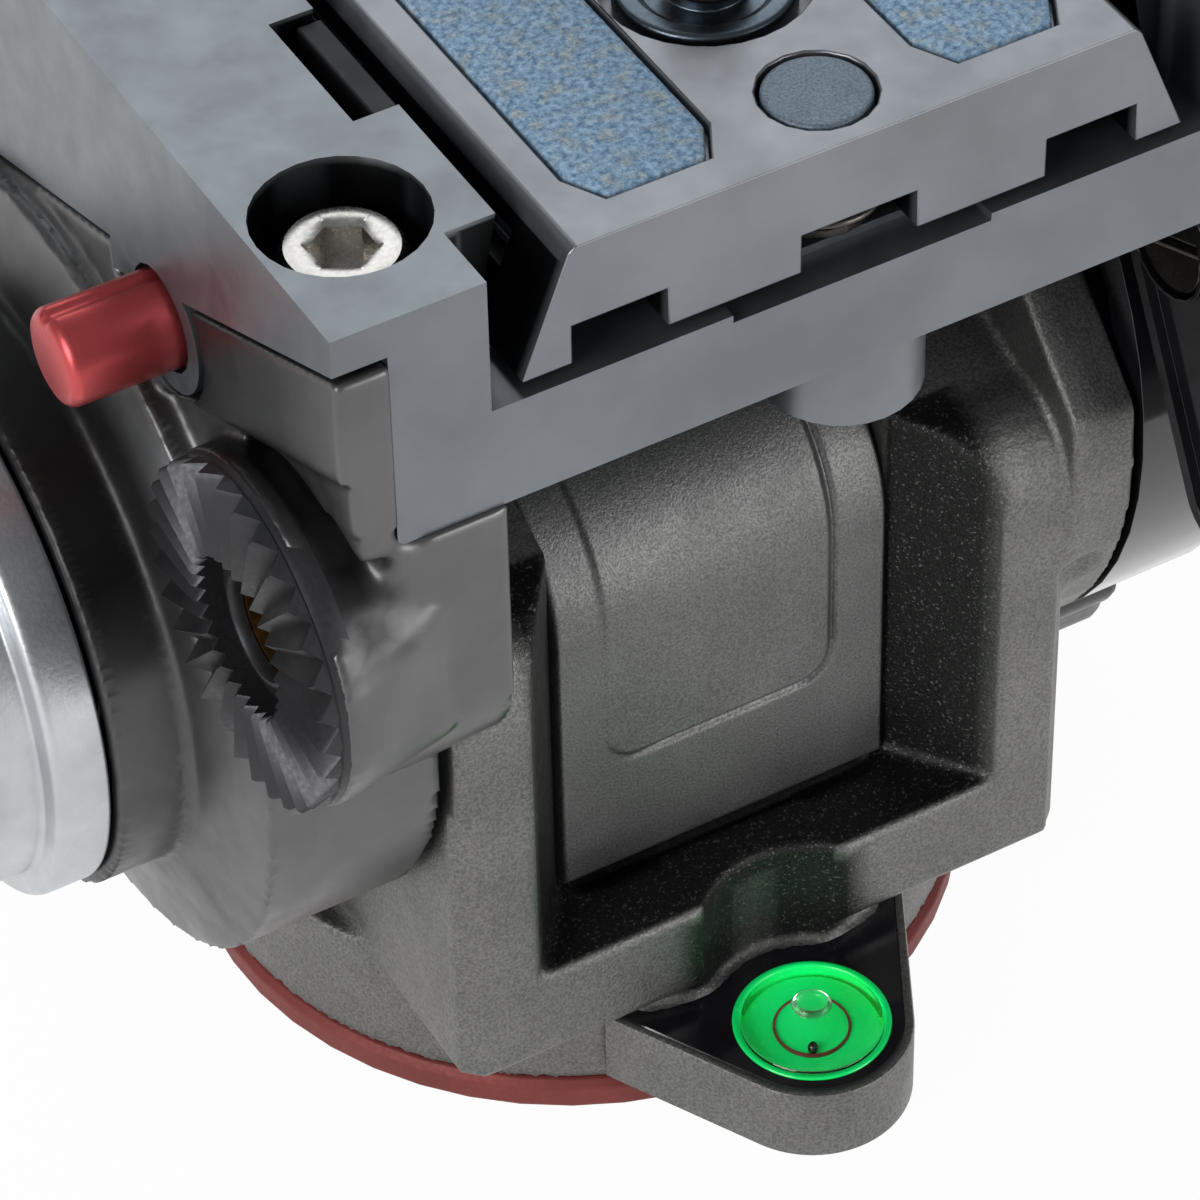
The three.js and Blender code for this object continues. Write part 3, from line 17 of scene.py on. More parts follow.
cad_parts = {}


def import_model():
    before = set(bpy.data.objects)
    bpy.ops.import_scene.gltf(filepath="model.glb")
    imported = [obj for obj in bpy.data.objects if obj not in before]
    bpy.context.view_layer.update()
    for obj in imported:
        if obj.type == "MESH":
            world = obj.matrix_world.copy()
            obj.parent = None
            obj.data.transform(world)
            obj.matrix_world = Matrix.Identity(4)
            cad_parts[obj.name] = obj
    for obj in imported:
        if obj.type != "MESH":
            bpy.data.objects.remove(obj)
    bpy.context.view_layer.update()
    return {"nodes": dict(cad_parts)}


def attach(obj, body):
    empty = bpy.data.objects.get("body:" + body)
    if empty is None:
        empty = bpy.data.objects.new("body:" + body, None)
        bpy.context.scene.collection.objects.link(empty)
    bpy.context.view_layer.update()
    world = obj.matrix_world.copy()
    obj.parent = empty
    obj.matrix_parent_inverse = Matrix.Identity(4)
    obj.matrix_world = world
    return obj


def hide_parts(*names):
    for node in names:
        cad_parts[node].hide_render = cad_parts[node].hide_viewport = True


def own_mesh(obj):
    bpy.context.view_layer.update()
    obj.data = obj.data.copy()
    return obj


LOG = logging.getLogger("video_head")
MM = 0.001
PAN_AXIS_Y = -2.85
TILT_HEIGHT = 48.8
PLATE_LOW = 89.0
MERGE = 0.0005
SHARP = 38.0
PART_SHARP = 32.0
TURNED_SHARP = 50.0
PAD_SHARP = 60.0
PART_MERGE = 0.012
PART_SLIVER = 0.02
PART_FLAT = 1.0
ROUND_ABOVE = 0.06
ROUND_BELOW = 0.12
COIL_STEPS = 40
WIRE_SIDES = 12
Triple = tuple[float, float, float]
Profile = list[tuple[float, float]]
FRAME_NODES: dict[str, bpy.types.Object] = {}


class Body(Enum):
    """The moving bodies of the head."""

    BASE = "base"
    PAN = "pan"
    PAN_LOCK = "pan_lock"
    TILT = "tilt_frame"
    LEVER = "lock_lever"
    PLATE_LOCK = "plate_lock"
    JAW = "jaw"
    BUTTON = "button"
    CATCH = "catch"
    PLATE = "plate"
    CAMERA_SCREW = "camera_screw"
    PIN = "pin"


class Along(Enum):
    """Side of the head that a turned shape's own axis points to."""

    LEFT = -1
    RIGHT = 1

    def matrix(self) -> Matrix:
        """Turn that takes the shape's own Z to this side."""
        sign = self.value
        return Matrix(((0, 0, sign, 0), (sign, 0, 0, 0), (0, 1, 0, 0), (0, 0, 0, 1)))


class Grain(Enum):
    """Skin of a casting: pits per metre, their depth and strength, and the strength of upright marks."""

    SMOOTH = (4200.0, 0.02, 0.3, 0.0)
    FINE = (5200.0, 0.10, 0.5, 0.35)
    COARSE = (4200.0, 0.16, 0.5, 0.35)


@dataclass(frozen=True)
class PaintedShade:
    """A box of space that little light reaches, where shade is painted into a finish's colour, its Y from the
    pan axis.

    It fades out between soft of its half size and its sides.
    """

    centre: Triple
    half: Triple
    soft: float = 0.85


def shades(colour: Triple, low: float, high: float) -> tuple[Triple, Triple]:
    """A darker and a lighter shade of a colour, by their factors."""
    return tuple(low * part for part in colour), tuple(min(1.0, high * part) for part in colour)


class NodeSheet:
    """A node tree that is written one node at a time."""

    def __init__(self, tree: bpy.types.NodeTree) -> None:
        """Takes the tree to write in."""
        self.tree = tree

    def feed(
        self, kind: str, values: dict[str | int, object] | None = None, output: str | int = 0,
        **settings: object,
    ) -> bpy.types.NodeSocket:
        """Adds a node and fills its inputs.

        Args:
            kind: The node's type name.
            values: By input, a socket to link or a plain value.
            output: Which output is wanted.
            **settings: Properties of the node.

        Returns:
            The output socket.
        """
        node = self.tree.nodes.new(kind)
        for key, value in settings.items():
            setattr(node, key, value)
        for key, value in (values or {}).items():
            if isinstance(value, bpy.types.NodeSocket):
                self.tree.links.new(value, node.inputs[key])
            else:
                node.inputs[key].default_value = value
        return node.outputs[output]


class ShaderTree(NodeSheet):
    """A material's node tree with its Principled shader."""

    def __init__(self, name: str, **values: object) -> None:
        """Starts a material.

        Args:
            name: Its name.
            **values: Shader inputs, with underscores for the spaces in their names.
        """
        self.material = bpy.data.materials.new(name)
        self.material.use_nodes = True
        super().__init__(self.material.node_tree)
        self.shader = self.tree.nodes["Principled BSDF"]
        self.place = self.feed("ShaderNodeTexCoord", output="Object")
        for key, value in values.items():
            self.shader.inputs[key.replace("_", " ")].default_value = value

    def end(self, **sockets: bpy.types.NodeSocket) -> bpy.types.Material:
        """Links sockets to shader inputs, with underscores for the spaces in their names.

        Args:
            **sockets: The socket for each input.

        Returns:
            The material.
        """
        for key, socket in sockets.items():
            self.tree.links.new(socket, self.shader.inputs[key.replace("_", " ")])
        return self.material

    def stretched(self, scale: Triple) -> bpy.types.NodeSocket:
        """Object coordinates times a factor along each axis."""
        return self.feed("ShaderNodeMapping", {"Scale": scale, "Vector": self.place}, "Vector")

    def noise(
        self, scale: float, detail: float = 3.0, rough: float = 0.55,
        place: bpy.types.NodeSocket | None = None,
    ) -> bpy.types.NodeSocket:
        """A noise value over the piece.

        Args:
            scale: Repeats per metre.
            detail: Octaves.
            rough: Share of the finer octaves.
            place: Coordinates, the object's own where none are given.

        Returns:
            The value socket.
        """
        return self.feed("ShaderNodeTexNoise", {
            "Scale": scale, "Detail": detail, "Roughness": rough, "Vector": place or self.place,
        }, "Fac")

    def ranged(
        self, value: bpy.types.NodeSocket, low: float, high: float,
        start: float = 0.35, end: float = 0.65,
    ) -> bpy.types.NodeSocket:
        """Takes start..end of a value to low..high.

        Args:
            value: The value.
            low: Result at start.
            high: Result at end.
            start: Where the range starts.
            end: Where it ends.

        Returns:
            The result socket.
        """
        return self.feed("ShaderNodeMapRange", {
            "From Min": start, "From Max": end, "To Min": low, "To Max": high, "Value": value,
        }, "Result")

    def blend(
        self, value: bpy.types.NodeSocket, first: Triple, second: Triple,
        start: float = 0.35, end: float = 0.65,
    ) -> bpy.types.NodeSocket:
        """A colour between two, by a value.

        Args:
            value: The value.
            first: Colour at start.
            second: Colour at end.
            start: Where the blend starts.
            end: Where it ends.

        Returns:
            The colour socket.
        """
        colour = self.feed("ShaderNodeValToRGB", {"Fac": value}, "Color")
        stops = colour.node.color_ramp.elements
        for index, (place, shade) in enumerate(((start, first), (end, second))):
            stops[index].position = place
            stops[index].color = (*shade, 1.0)
        return colour

    def vector(self, operation: str, *values: object) -> bpy.types.NodeSocket:
        """A vector operation on sockets or plain vectors."""
        return self.feed("ShaderNodeVectorMath", dict(enumerate(values)), operation=operation)

    def most(self, first: bpy.types.NodeSocket, second: bpy.types.NodeSocket) -> bpy.types.NodeSocket:
        """The greater of two values."""
        return self.feed("ShaderNodeMath", {0: first, 1: second}, operation="MAXIMUM")

    def scaled(self, colour: bpy.types.NodeSocket, share: bpy.types.NodeSocket) -> bpy.types.NodeSocket:
        """A colour times a value."""
        return self.feed("ShaderNodeVectorMath", {0: colour, "Scale": share}, operation="SCALE")

    def inside(self, painted_shades: tuple[PaintedShade, ...]) -> bpy.types.NodeSocket:
        """Where the surface lies in one of some boxes of painted shade.

        Args:
            painted_shades: The boxes of painted shade.

        Returns:
            A value from 0 outside to 1 inside.
        """
        found = None
        for shade_box in painted_shades:
            x, y, z = shade_box.centre
            away = self.vector("SUBTRACT", self.place, (x * MM, (y + PAN_AXIS_Y) * MM, z * MM))
            part = self.vector("DIVIDE", away, tuple(size * MM for size in shade_box.half))
            axes = self.feed("ShaderNodeSeparateXYZ", {0: self.vector("ABSOLUTE", part)}).node.outputs
            reach = self.most(self.most(axes[0], axes[1]), axes[2])
            share = self.ranged(reach, 1.0, 0.0, shade_box.soft, 1.0)
            found = share if found is None else self.most(found, share)
        return found

    def bump(
        self, height: bpy.types.NodeSocket, depth: float, strength: float,
        under: bpy.types.NodeSocket | None = None,
    ) -> bpy.types.NodeSocket:
        """A bump from a height.

        Args:
            height: The height, 0 to 1.
            depth: Depth in millimetres at height 1.
            strength: Share of the bump that shows.
            under: A bump that this one lies on.

        Returns:
            The normal socket.
        """
        values = {"Strength": strength, "Distance": depth * MM, "Height": height}
        if under is not None:
            values["Normal"] = under
        return self.feed("ShaderNodeBump", values, "Normal")


@dataclass(frozen=True)
class CastFinish:
    """Painted or blasted casting: a skin of fine pits over a slightly uneven tone, with painted shade in
    given boxes.
    """

    name: str
    colour: Triple
    roughness: float
    grain: Grain
    metallic: float = 0.0
    # Boxes of painted shade, and the share of the colour left in them.
    painted_shades: tuple[PaintedShade, ...] = ()
    painted_shade_tone: float = 0.1

    def make(self) -> bpy.types.Material:
        """Builds the material.

        Returns:
            The material.
        """
        tree = ShaderTree(self.name, Metallic=self.metallic)
        colour = tree.blend(tree.noise(90.0, 4.0), *shades(self.colour, 0.9, 1.1))
        scale, depth, strength, lined = self.grain.value
        if self.grain is not Grain.SMOOTH:
            colour = tree.scaled(colour, tree.ranged(tree.noise(scale, 2.0), 0.72, 1.28))
        # Painted shade: the colour darkens inside the given boxes, where little light reaches.
        if self.painted_shades:
            painted_shade_share = tree.inside(self.painted_shades)
            colour = tree.scaled(colour, tree.ranged(painted_shade_share, 1.0, self.painted_shade_tone, 0.0, 1.0))
            # Lighter specks on a coarse casting: painted glints in the painted shade, faint grain specks
            # elsewhere.
            if self.grain is Grain.COARSE:
                specks = tree.ranged(tree.noise(3900.0, 1.0), 0.0, 0.14, 0.61, 0.74)
                specks = tree.scaled(specks, tree.ranged(painted_shade_share, 0.15, 1.0, 0.0, 1.0))
                colour = tree.vector("ADD", colour, specks)
        smudge = tree.noise(260.0, 5.0, 0.6)
        lines = tree.noise(2600.0, 2.0, 0.5, tree.stretched((1.0, 1.0, 0.06)))
        wide = tree.bump(lines, 0.05, lined)
        return tree.end(
            Base_Color=colour,
            Roughness=tree.ranged(smudge, self.roughness - 0.05, self.roughness + 0.06),
            Normal=tree.bump(tree.noise(scale, 3.0, 0.65), depth, strength, wide),
        )


@dataclass(frozen=True)
class MetalFinish:
    """Bare, anodised or plated metal with fine marks drawn out along one axis."""

    name: str
    colour: Triple
    roughness: float
    stretch: Triple = (1.0, 1.0, 1.0)
    grain: float = 2600.0
    depth: float = 0.02
    metallic: float = 1.0

    def make(self) -> bpy.types.Material:
        """Builds the material.

        Returns:
            The material.
        """
        tree = ShaderTree(self.name, Metallic=self.metallic)
        marks = tree.noise(self.grain, 3.0, 0.6, tree.stretched(self.stretch))
        return tree.end(
            Base_Color=tree.blend(tree.noise(140.0, 3.0), *shades(self.colour, 0.88, 1.08)),
            Roughness=tree.ranged(marks, self.roughness - 0.04, self.roughness + 0.07),
            Normal=tree.bump(marks, self.depth, 0.4),
        )


@dataclass(frozen=True)
class GlossFinish:
    """Glossy paint or moulded plastic under a clear coat."""

    name: str
    colour: Triple
    roughness: float
    coat: float = 0.6

    def make(self) -> bpy.types.Material:
        """Builds the material.

        Returns:
            The material.
        """
        tree = ShaderTree(self.name, Coat_Weight=self.coat, Coat_Roughness=0.06)
        light = tuple(min(1.0, 1.6 * part + 0.002) for part in self.colour)
        dust = tree.noise(900.0, 5.0, 0.7)
        return tree.end(
            Base_Color=tree.blend(tree.noise(180.0, 4.0), self.colour, light),
            Roughness=tree.ranged(dust, self.roughness, self.roughness + 0.08),
            Normal=tree.bump(tree.noise(700.0, 2.0), 0.03, 0.12),
        )


@dataclass(frozen=True)
class RubberFinish:
    """Mottled cork-rubber of the camera pads."""

    name: str
    dark: Triple
    light: Triple
    golden: Triple

    def make(self) -> bpy.types.Material:
        """Builds the material.

        Returns:
            The material.
        """
        tree = ShaderTree(self.name, Specular_IOR_Level=0.35)
        specks = tree.noise(1900.0, 5.0, 0.72)
        colour = tree.feed("ShaderNodeMix", {
            "Factor": tree.ranged(tree.noise(700.0, 4.0), 0.0, 0.75, 0.48, 0.68),
            6: tree.blend(specks, self.dark, self.light, 0.36, 0.62),
            7: tree.blend(specks, self.dark, self.golden, 0.36, 0.62),
        }, 2, data_type="RGBA")
        wide = tree.bump(tree.noise(520.0, 3.0), 0.1, 0.4)
        return tree.end(
            Base_Color=colour, Roughness=tree.ranged(specks, 0.62, 0.86),
            Normal=tree.bump(tree.noise(2100.0, 4.0, 0.7), 0.16, 0.8, wide),
        )


@dataclass(frozen=True)
class ClearFinish:
    """Clear plastic that lets most light through to what lies under it."""

    name: str
    colour: Triple
    index: float
    roughness: float = 0.03

    def make(self) -> bpy.types.Material:
        """Builds the material.

        Returns:
            The material.
        """
        tree = ShaderTree(self.name, Transmission_Weight=1.0, IOR=self.index)
        shadow = tree.feed("ShaderNodeLightPath", output="Is Shadow Ray")
        ripple = tree.noise(500.0, 2.0)
        return tree.end(
            Base_Color=tree.blend(tree.noise(300.0, 2.0), *shades(self.colour, 1.0, 1.06)),
            Alpha=tree.ranged(shadow, 1.0, 0.1, 0.0, 1.0),
            Roughness=tree.ranged(ripple, self.roughness, self.roughness + 0.02),
        )


class Finishes:
    """Every finish of the head, made once."""

    def __init__(self) -> None:
        """Builds the materials."""
        self.red_disc = MetalFinish(
            "red_anodised_disc", (0.20, 0.038, 0.032), 0.55, grain=2200.0, depth=0.03, metallic=0.35,
        ).make()
        # Painted shade darkens the niche behind the rear cover and the scoop above the level.
        self.casting = CastFinish("grained_dark_casting", (0.165, 0.163, 0.158), 0.43, Grain.COARSE, 0.8, (
            PaintedShade((0, -26.3, 39), (20.5, 3.8, 22.2), 0.9),
            PaintedShade((0, -30.5, 15.3), (8.6, 3.4, 5.0), 0.75),
        ), 0.13).make()
        self.panel = CastFinish("fine_grained_cover", (0.148, 0.148, 0.145), 0.42, Grain.FINE, 0.8).make()
        # Painted shade darkens the collar and drum face outside the cheek, the cheek's face under the
        # receiver, and a crescent beside the toothed seat that dims the highlights there.
        self.cheek = CastFinish("satin_grey_casting", (0.14, 0.139, 0.14), 0.38, Grain.SMOOTH, 0.85, (
            PaintedShade((-44.3, 0, 58), (4.2, 25, 30), 0.7),
            PaintedShade((-40.5, -26, 84), (4.5, 16, 13), 0.3),
            PaintedShade((-38.0, -40.4, 77.4), (3.6, 4.0, 3.4), 0.25),
            PaintedShade((-37.2, -42.8, 74.8), (3.2, 2.4, 2.8), 0.2),
        ), 0.2).make()
        # Painted shade darkens round the socket screws and in the channel that holds the plate.
        self.receiver = CastFinish("satin_blue_grey", (0.19, 0.206, 0.222), 0.36, Grain.SMOOTH, 0.85, (
            *(PaintedShade((x, y, 94.9), (6.4, 6.4, 3.9)) for x, y in ReceiverBlock.screw_places),
            PaintedShade((0, 0, 93.6), (27.3, 40.6, 5.1), 0.96),
        ), 0.06).make()
        # Painted shade darkens the plate's dovetail flanks and its lower part, down in the receiver's
        # channel.
        self.plate = CastFinish("satin_plate_grey", (0.215, 0.225, 0.243), 0.36, Grain.SMOOTH, 0.85, (
            *(PaintedShade((side * 24.9, 4.2, 93), (3.2, 44.7, 5.2), 0.985) for side in (-1, 1)),
            PaintedShade((0, 4.2, 90.4), (23.5, 44.6, 2.9), 0.985),
        ), 0.06).make()
        self.silver = MetalFinish(
            "matt_silver_cap", (0.56, 0.58, 0.60), 0.36, grain=3000.0, depth=0.05, metallic=0.9,
        ).make()
        self.gloss = GlossFinish("gloss_black_shell", (0.0045, 0.0040, 0.0055), 0.1).make()
        self.black = GlossFinish("black_moulded_grip", (0.012, 0.012, 0.014), 0.36, 0.15).make()
        self.steel = MetalFinish("bright_steel", (0.53, 0.51, 0.48), 0.27).make()
        self.dark_steel = MetalFinish("blackened_steel", (0.085, 0.078, 0.07), 0.3).make()
        self.blue_steel = MetalFinish("blued_steel", (0.10, 0.125, 0.15), 0.32).make()
        # Near-black painted shade for the safety catch, which sits in the shade of its slot.
        self.painted_shade_black = CastFinish("catch_painted_shade", (0.008, 0.008, 0.009), 0.6, Grain.SMOOTH).make()
        self.bronze = MetalFinish("bearing_bronze", (0.52, 0.31, 0.13), 0.34).make()
        self.brass = MetalFinish("brass_insert", (0.40, 0.25, 0.09), 0.32).make()
        self.pad = RubberFinish(
            "mottled_blue_pad", (0.085, 0.175, 0.30), (0.36, 0.52, 0.68), (0.50, 0.48, 0.36),
        ).make()
        self.teeth = MetalFinish("toothed_casting", (0.055, 0.055, 0.058), 0.44, metallic=0.85).make()
        self.pin = CastFinish("blue_grey_pin", (0.135, 0.175, 0.215), 0.45, Grain.FINE, 0.4).make()
        self.red_button = MetalFinish(
            "red_anodised_button", (0.60, 0.085, 0.09), 0.34, (1.0, 4.0, 4.0), 1500.0, metallic=0.65,
        ).make()
        self.glass = ClearFinish("clear_vial_dome", (0.97, 1.0, 0.98), 1.46).make()
        self.liquid = GlossFinish("green_vial_liquid", (0.0, 0.86, 0.14), 0.2, 0.4).make()
        self.ring = GlossFinish("dark_red_ring", (0.10, 0.012, 0.010), 0.3).make()


class Shaping:
    """Mesh tools that the sub-assemblies share."""

    @staticmethod
    def place(x: float, y: float, z: float, points: Along | None = None) -> Matrix:
        """A move in millimetres, its Y from the pan axis, after a turn of the shape's own axis to a side."""
        turn = Matrix.Identity(4) if points is None else points.matrix()
        return Matrix.Translation((x, y + PAN_AXIS_Y, z)) @ turn

    @staticmethod
    def rounded(corners: list[Triple], steps: int = 4) -> Profile:
        """Rounds the inner corners of a line of points.

        Args:
            corners: (across, along, rounding radius) of each corner.
            steps: Points in each rounding beyond the first.

        Returns:
            The points of the rounded line.
        """
        points: Profile = []
        last = len(corners) - 1
        for index, (across, along, radius) in enumerate(corners):
            here = Vector((across, along))
            if radius <= 0 or index in (0, last):
                points.append((across, along))
                continue
            before = Vector(corners[index - 1][:2]) - here
            after = Vector(corners[index + 1][:2]) - here
            half = before.angle(after) / 2
            cut = min(radius / math.tan(half), before.length * 0.49, after.length * 0.49)
            start = here + before.normalized() * cut
            end = here + after.normalized() * cut
            for step in range(steps + 1):
                share = step / steps
                bent = start.lerp(here, share).lerp(here.lerp(end, share), share)
                points.append((bent.x, bent.y))
        return points

    @staticmethod
    def link(name: str, mesh: bpy.types.Mesh, finish: bpy.types.Material) -> bpy.types.Object:
        """Makes an object of a mesh in metres and gives it a finish.

        Args:
            name: Name of the piece.
            mesh: The mesh.
            finish: The material.

        Returns:
            The object.
        """
        piece = bpy.data.objects.new(name, mesh)
        mesh.materials.clear()
        mesh.materials.append(finish)
        bpy.context.scene.collection.objects.link(piece)
        return piece

    @classmethod
    def loose(cls, name: str, shape: bmesh.types.BMesh, finish: bpy.types.Material) -> bpy.types.Object:
        """Makes an object of a shape in metres.

        Args:
            name: Name of the piece.
            shape: The shape, freed here.
            finish: The material.

        Returns:
            The object.
        """
        mesh = bpy.data.meshes.new(name)
        shape.to_mesh(mesh)
        shape.free()
        return cls.link(name, mesh, finish)

    @staticmethod
    def shade(shape: bmesh.types.BMesh, sharp: float) -> None:
        """Makes all faces smooth.

        Args:
            shape: The shape.
            sharp: Angle in degrees above which an edge stays sharp.
        """
        for face in shape.faces:
            face.smooth = True
        for edge in shape.edges:
            edge.smooth = edge.calc_face_angle(0.0) < math.radians(sharp)

    @classmethod
    def closed(
        cls, name: str, shape: bmesh.types.BMesh, matrix: Matrix, finish: bpy.types.Material,
        sharp: float = SHARP,
    ) -> bpy.types.Object:
        """Turns a shape in millimetres into a finished piece with smooth faces.

        Args:
            name: Name of the piece.
            shape: The shape, freed here.
            matrix: Its place, in millimetres.
            finish: Its material.
            sharp: Angle in degrees above which an edge stays sharp.

        Returns:
            The object.
        """
        bmesh.ops.remove_doubles(shape, verts=shape.verts, dist=MERGE)
        bmesh.ops.recalc_face_normals(shape, faces=shape.faces)
        shape.transform(Matrix.Scale(MM, 4) @ matrix)
        cls.shade(shape, sharp)
        return cls.loose(name, shape, finish)

    @staticmethod
    def turned(profile: Profile, sides: int = 96) -> bmesh.types.BMesh:
        """Turns a profile of (radius, height) about Z; points at radius 0 become poles.

        Args:
            profile: The points, both ends on the axis or one end on the other.
            sides: Steps round the axis.

        Returns:
            The shape.
        """
        shape = bmesh.new()
        rings: list[list[bmesh.types.BMVert]] = []
        angles = [2 * math.pi * side / sides for side in range(sides)]
        for radius, height in profile:
            if radius < MERGE:
                rings.append([shape.verts.new((0, 0, height))])
                continue
            points = [(radius * math.cos(angle), radius * math.sin(angle), height) for angle in angles]
            rings.append([shape.verts.new(point) for point in points])
        for low, high in zip(rings, rings[1:]):
            for side in range(sides):
                after = (side + 1) % sides
                corners = [
                    low[side % len(low)], low[after % len(low)],
                    high[after % len(high)], high[side % len(high)],
                ]
                kept = list(dict.fromkeys(corners))
                if len(kept) > 2:
                    shape.faces.new(kept)
        return shape

    @staticmethod
    def stacked(rings: list[list[Triple]]) -> bmesh.types.BMesh:
        """Skins a stack of rings of equal count and shuts both ends.

        Args:
            rings: The rings of points, from one end to the other.

        Returns:
            The shape.
        """
        shape = bmesh.new()
        made = [[shape.verts.new(point) for point in ring] for ring in rings]
        count = len(made[0])
        for low, high in zip(made, made[1:]):
            for side in range(count):
                after = (side + 1) % count
                shape.faces.new((low[side], low[after], high[after], high[side]))
        shape.faces.new(made[0])
        shape.faces.new(made[-1])
        return shape

    @classmethod
    def carved(
        cls, count: int, levels: list[tuple[float, float, int]],
        reach: Callable[[float, int, int, float], float],
    ) -> bmesh.types.BMesh:
        """Skins rings about Z whose radius may change round them.

        Args:
            count: Steps round the axis.
            levels: (radius, height, kind) of each ring.
            reach: Gives the radius from a ring's radius and kind, the step and its angle.

        Returns:
            The shape.
        """
        rings = []
        for radius, height, kind in levels:
            ring = []
            for step in range(count):
                angle = 2 * math.pi * step / count
                here = reach(radius, kind, step, angle)
                ring.append((here * math.cos(angle), here * math.sin(angle), height))
            rings.append(ring)
        return cls.stacked(rings)

    @classmethod
    def domed(cls, outline: Profile, levels: list[tuple[float, float]]) -> bmesh.types.BMesh:
        """A flat outline made thick, drawn in towards its middle at each level.

        Args:
            outline: The outline's points.
            levels: (height, inset) of each level.

        Returns:
            The shape.
        """
        count = len(outline)
        rings = []
        for height, inset in levels:
            ring = []
            for index, (across, along) in enumerate(outline):
                before = Vector(outline[index - 1])
                after = Vector(outline[(index + 1) % count])
                run = (after - before).normalized()
                ring.append((across - run.y * inset, along + run.x * inset, height))
            rings.append(ring)
        return cls.stacked(rings)

    @classmethod
    def from_part(cls, node: str, finish: bpy.types.Material, edge: float) -> bpy.types.Object:
        """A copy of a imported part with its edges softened.

        Args:
            node: The part.
            finish: The material.
            edge: Width of the softened edges in millimetres.

        Returns:
            The object, which doesn't yet replace the part.
        """
        mesh = FRAME_NODES[node].data.copy()
        mesh.name = f"{node}_finished"
        shape = bmesh.new()
        shape.from_mesh(mesh)
        bmesh.ops.remove_doubles(shape, verts=shape.verts, dist=PART_MERGE * MM)
        bmesh.ops.dissolve_degenerate(shape, edges=shape.edges, dist=PART_SLIVER * MM)
        bmesh.ops.dissolve_limit(
            shape, angle_limit=math.radians(PART_FLAT), verts=shape.verts, edges=shape.edges,
        )
        cls.shade(shape, PART_SHARP)
        shape.to_mesh(mesh)
        shape.free()
        piece = cls.link(mesh.name, mesh, finish)
        if edge > 0:
            soft = piece.modifiers.new("soft_edges", "BEVEL")
            soft.width = edge * MM
            soft.segments = 2
            soft.limit_method = "ANGLE"
            soft.angle_limit = math.radians(PART_SHARP)
            soft.use_clamp_overlap = True
            even = piece.modifiers.new("even_normals", "WEIGHTED_NORMAL")
            even.keep_sharp = True
        return piece

    @classmethod
    def softened(cls, node: str, finish: bpy.types.Material, edge: float, body: Body) -> None:
        """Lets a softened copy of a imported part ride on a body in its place."""
        cls.settle(cls.from_part(node, finish, edge), body, node)

    @staticmethod
    def _relaxed(shape: bmesh.types.BMesh, verts: list[bmesh.types.BMVert], rounds: int) -> None:
        """Smooths some vertices of a shape.

        Args:
            shape: The shape.
            verts: The vertices.
            rounds: How many times they are smoothed.
        """
        for _ in range(rounds):
            bmesh.ops.smooth_vert(
                shape, verts=verts, factor=0.5, use_axis_x=True, use_axis_y=True, use_axis_z=True,
            )

    @classmethod
    def cast(
        cls, node: str, finish: bpy.types.Material, cell: float, share: float,
        flared: tuple[tuple[Triple, float, int], ...], drums: tuple[tuple[int, float], ...],
    ) -> bpy.types.Object:
        """A copy of a cast part with all its edges rounded, as a mould leaves them.

        Args:
            node: The part.
            finish: The material.
            cell: Size of the cells it is made anew from, in millimetres.
            share: Share of the faces that is kept.
            flared: (centre, radius, rounds of smoothing) of the places that are smoothed more.
            drums: (0 for the tilt axis or 2 for the pan axis, radius) of the faces laid on a true round.

        Returns:
            The object, which doesn't yet replace the part.
        """
        piece = cls.from_part(node, finish, 0.0)
        skin = piece.modifiers.new("new_skin", "REMESH")
        skin.mode = "VOXEL"
        skin.voxel_size = cell * MM
        skin.use_smooth_shade = True
        cls.plain_mesh(piece, finish)
        shape = bmesh.new()
        shape.from_mesh(piece.data)
        cls._relaxed(shape, shape.verts, 1)
        for (x, y, z), radius, rounds in flared:
            middle = Vector((x, y + PAN_AXIS_Y, z)) * MM
            near = [vert for vert in shape.verts if (vert.co - middle).length < radius * MM]
            cls._relaxed(shape, near, rounds)
        hub = Vector((0, PAN_AXIS_Y, TILT_HEIGHT)) * MM
        for axis, radius in drums:
            for vert in shape.verts:
                away = vert.co - hub
                away[axis] = 0
                gap = radius * MM - away.length
                if -ROUND_ABOVE * MM < gap < ROUND_BELOW * MM:
                    vert.co += away.normalized() * gap
        shape.to_mesh(piece.data)
        shape.free()
        thin = piece.modifiers.new("fewer_faces", "DECIMATE")
        thin.ratio = share
        cls.plain_mesh(piece, finish)
        for face in piece.data.polygons:
            face.use_smooth = True
        return piece

    @staticmethod
    def settle(piece: bpy.types.Object, body: Body, *nodes: str) -> bpy.types.Object:
        """Lets a piece ride on a body in place of its parts.

        Args:
            piece: The piece.
            body: The body that carries it.
            *nodes: The parts that it stands for.

        Returns:
            The same piece.
        """
        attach(piece, body.value)
        if nodes:
            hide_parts(*nodes)
        return piece

    @staticmethod
    def plain_mesh(piece: bpy.types.Object, finish: bpy.types.Material) -> None:
        """Bakes a piece's modifiers into a plain mesh and removes them.

        Args:
            piece: The piece.
            finish: The material that the mesh gets.
        """
        bpy.context.view_layer.update()
        evaluated = piece.evaluated_get(bpy.context.evaluated_depsgraph_get())
        result = bpy.data.meshes.new_from_object(evaluated)
        piece.modifiers.clear()
        piece.data = result
        result.materials.clear()
        result.materials.append(finish)


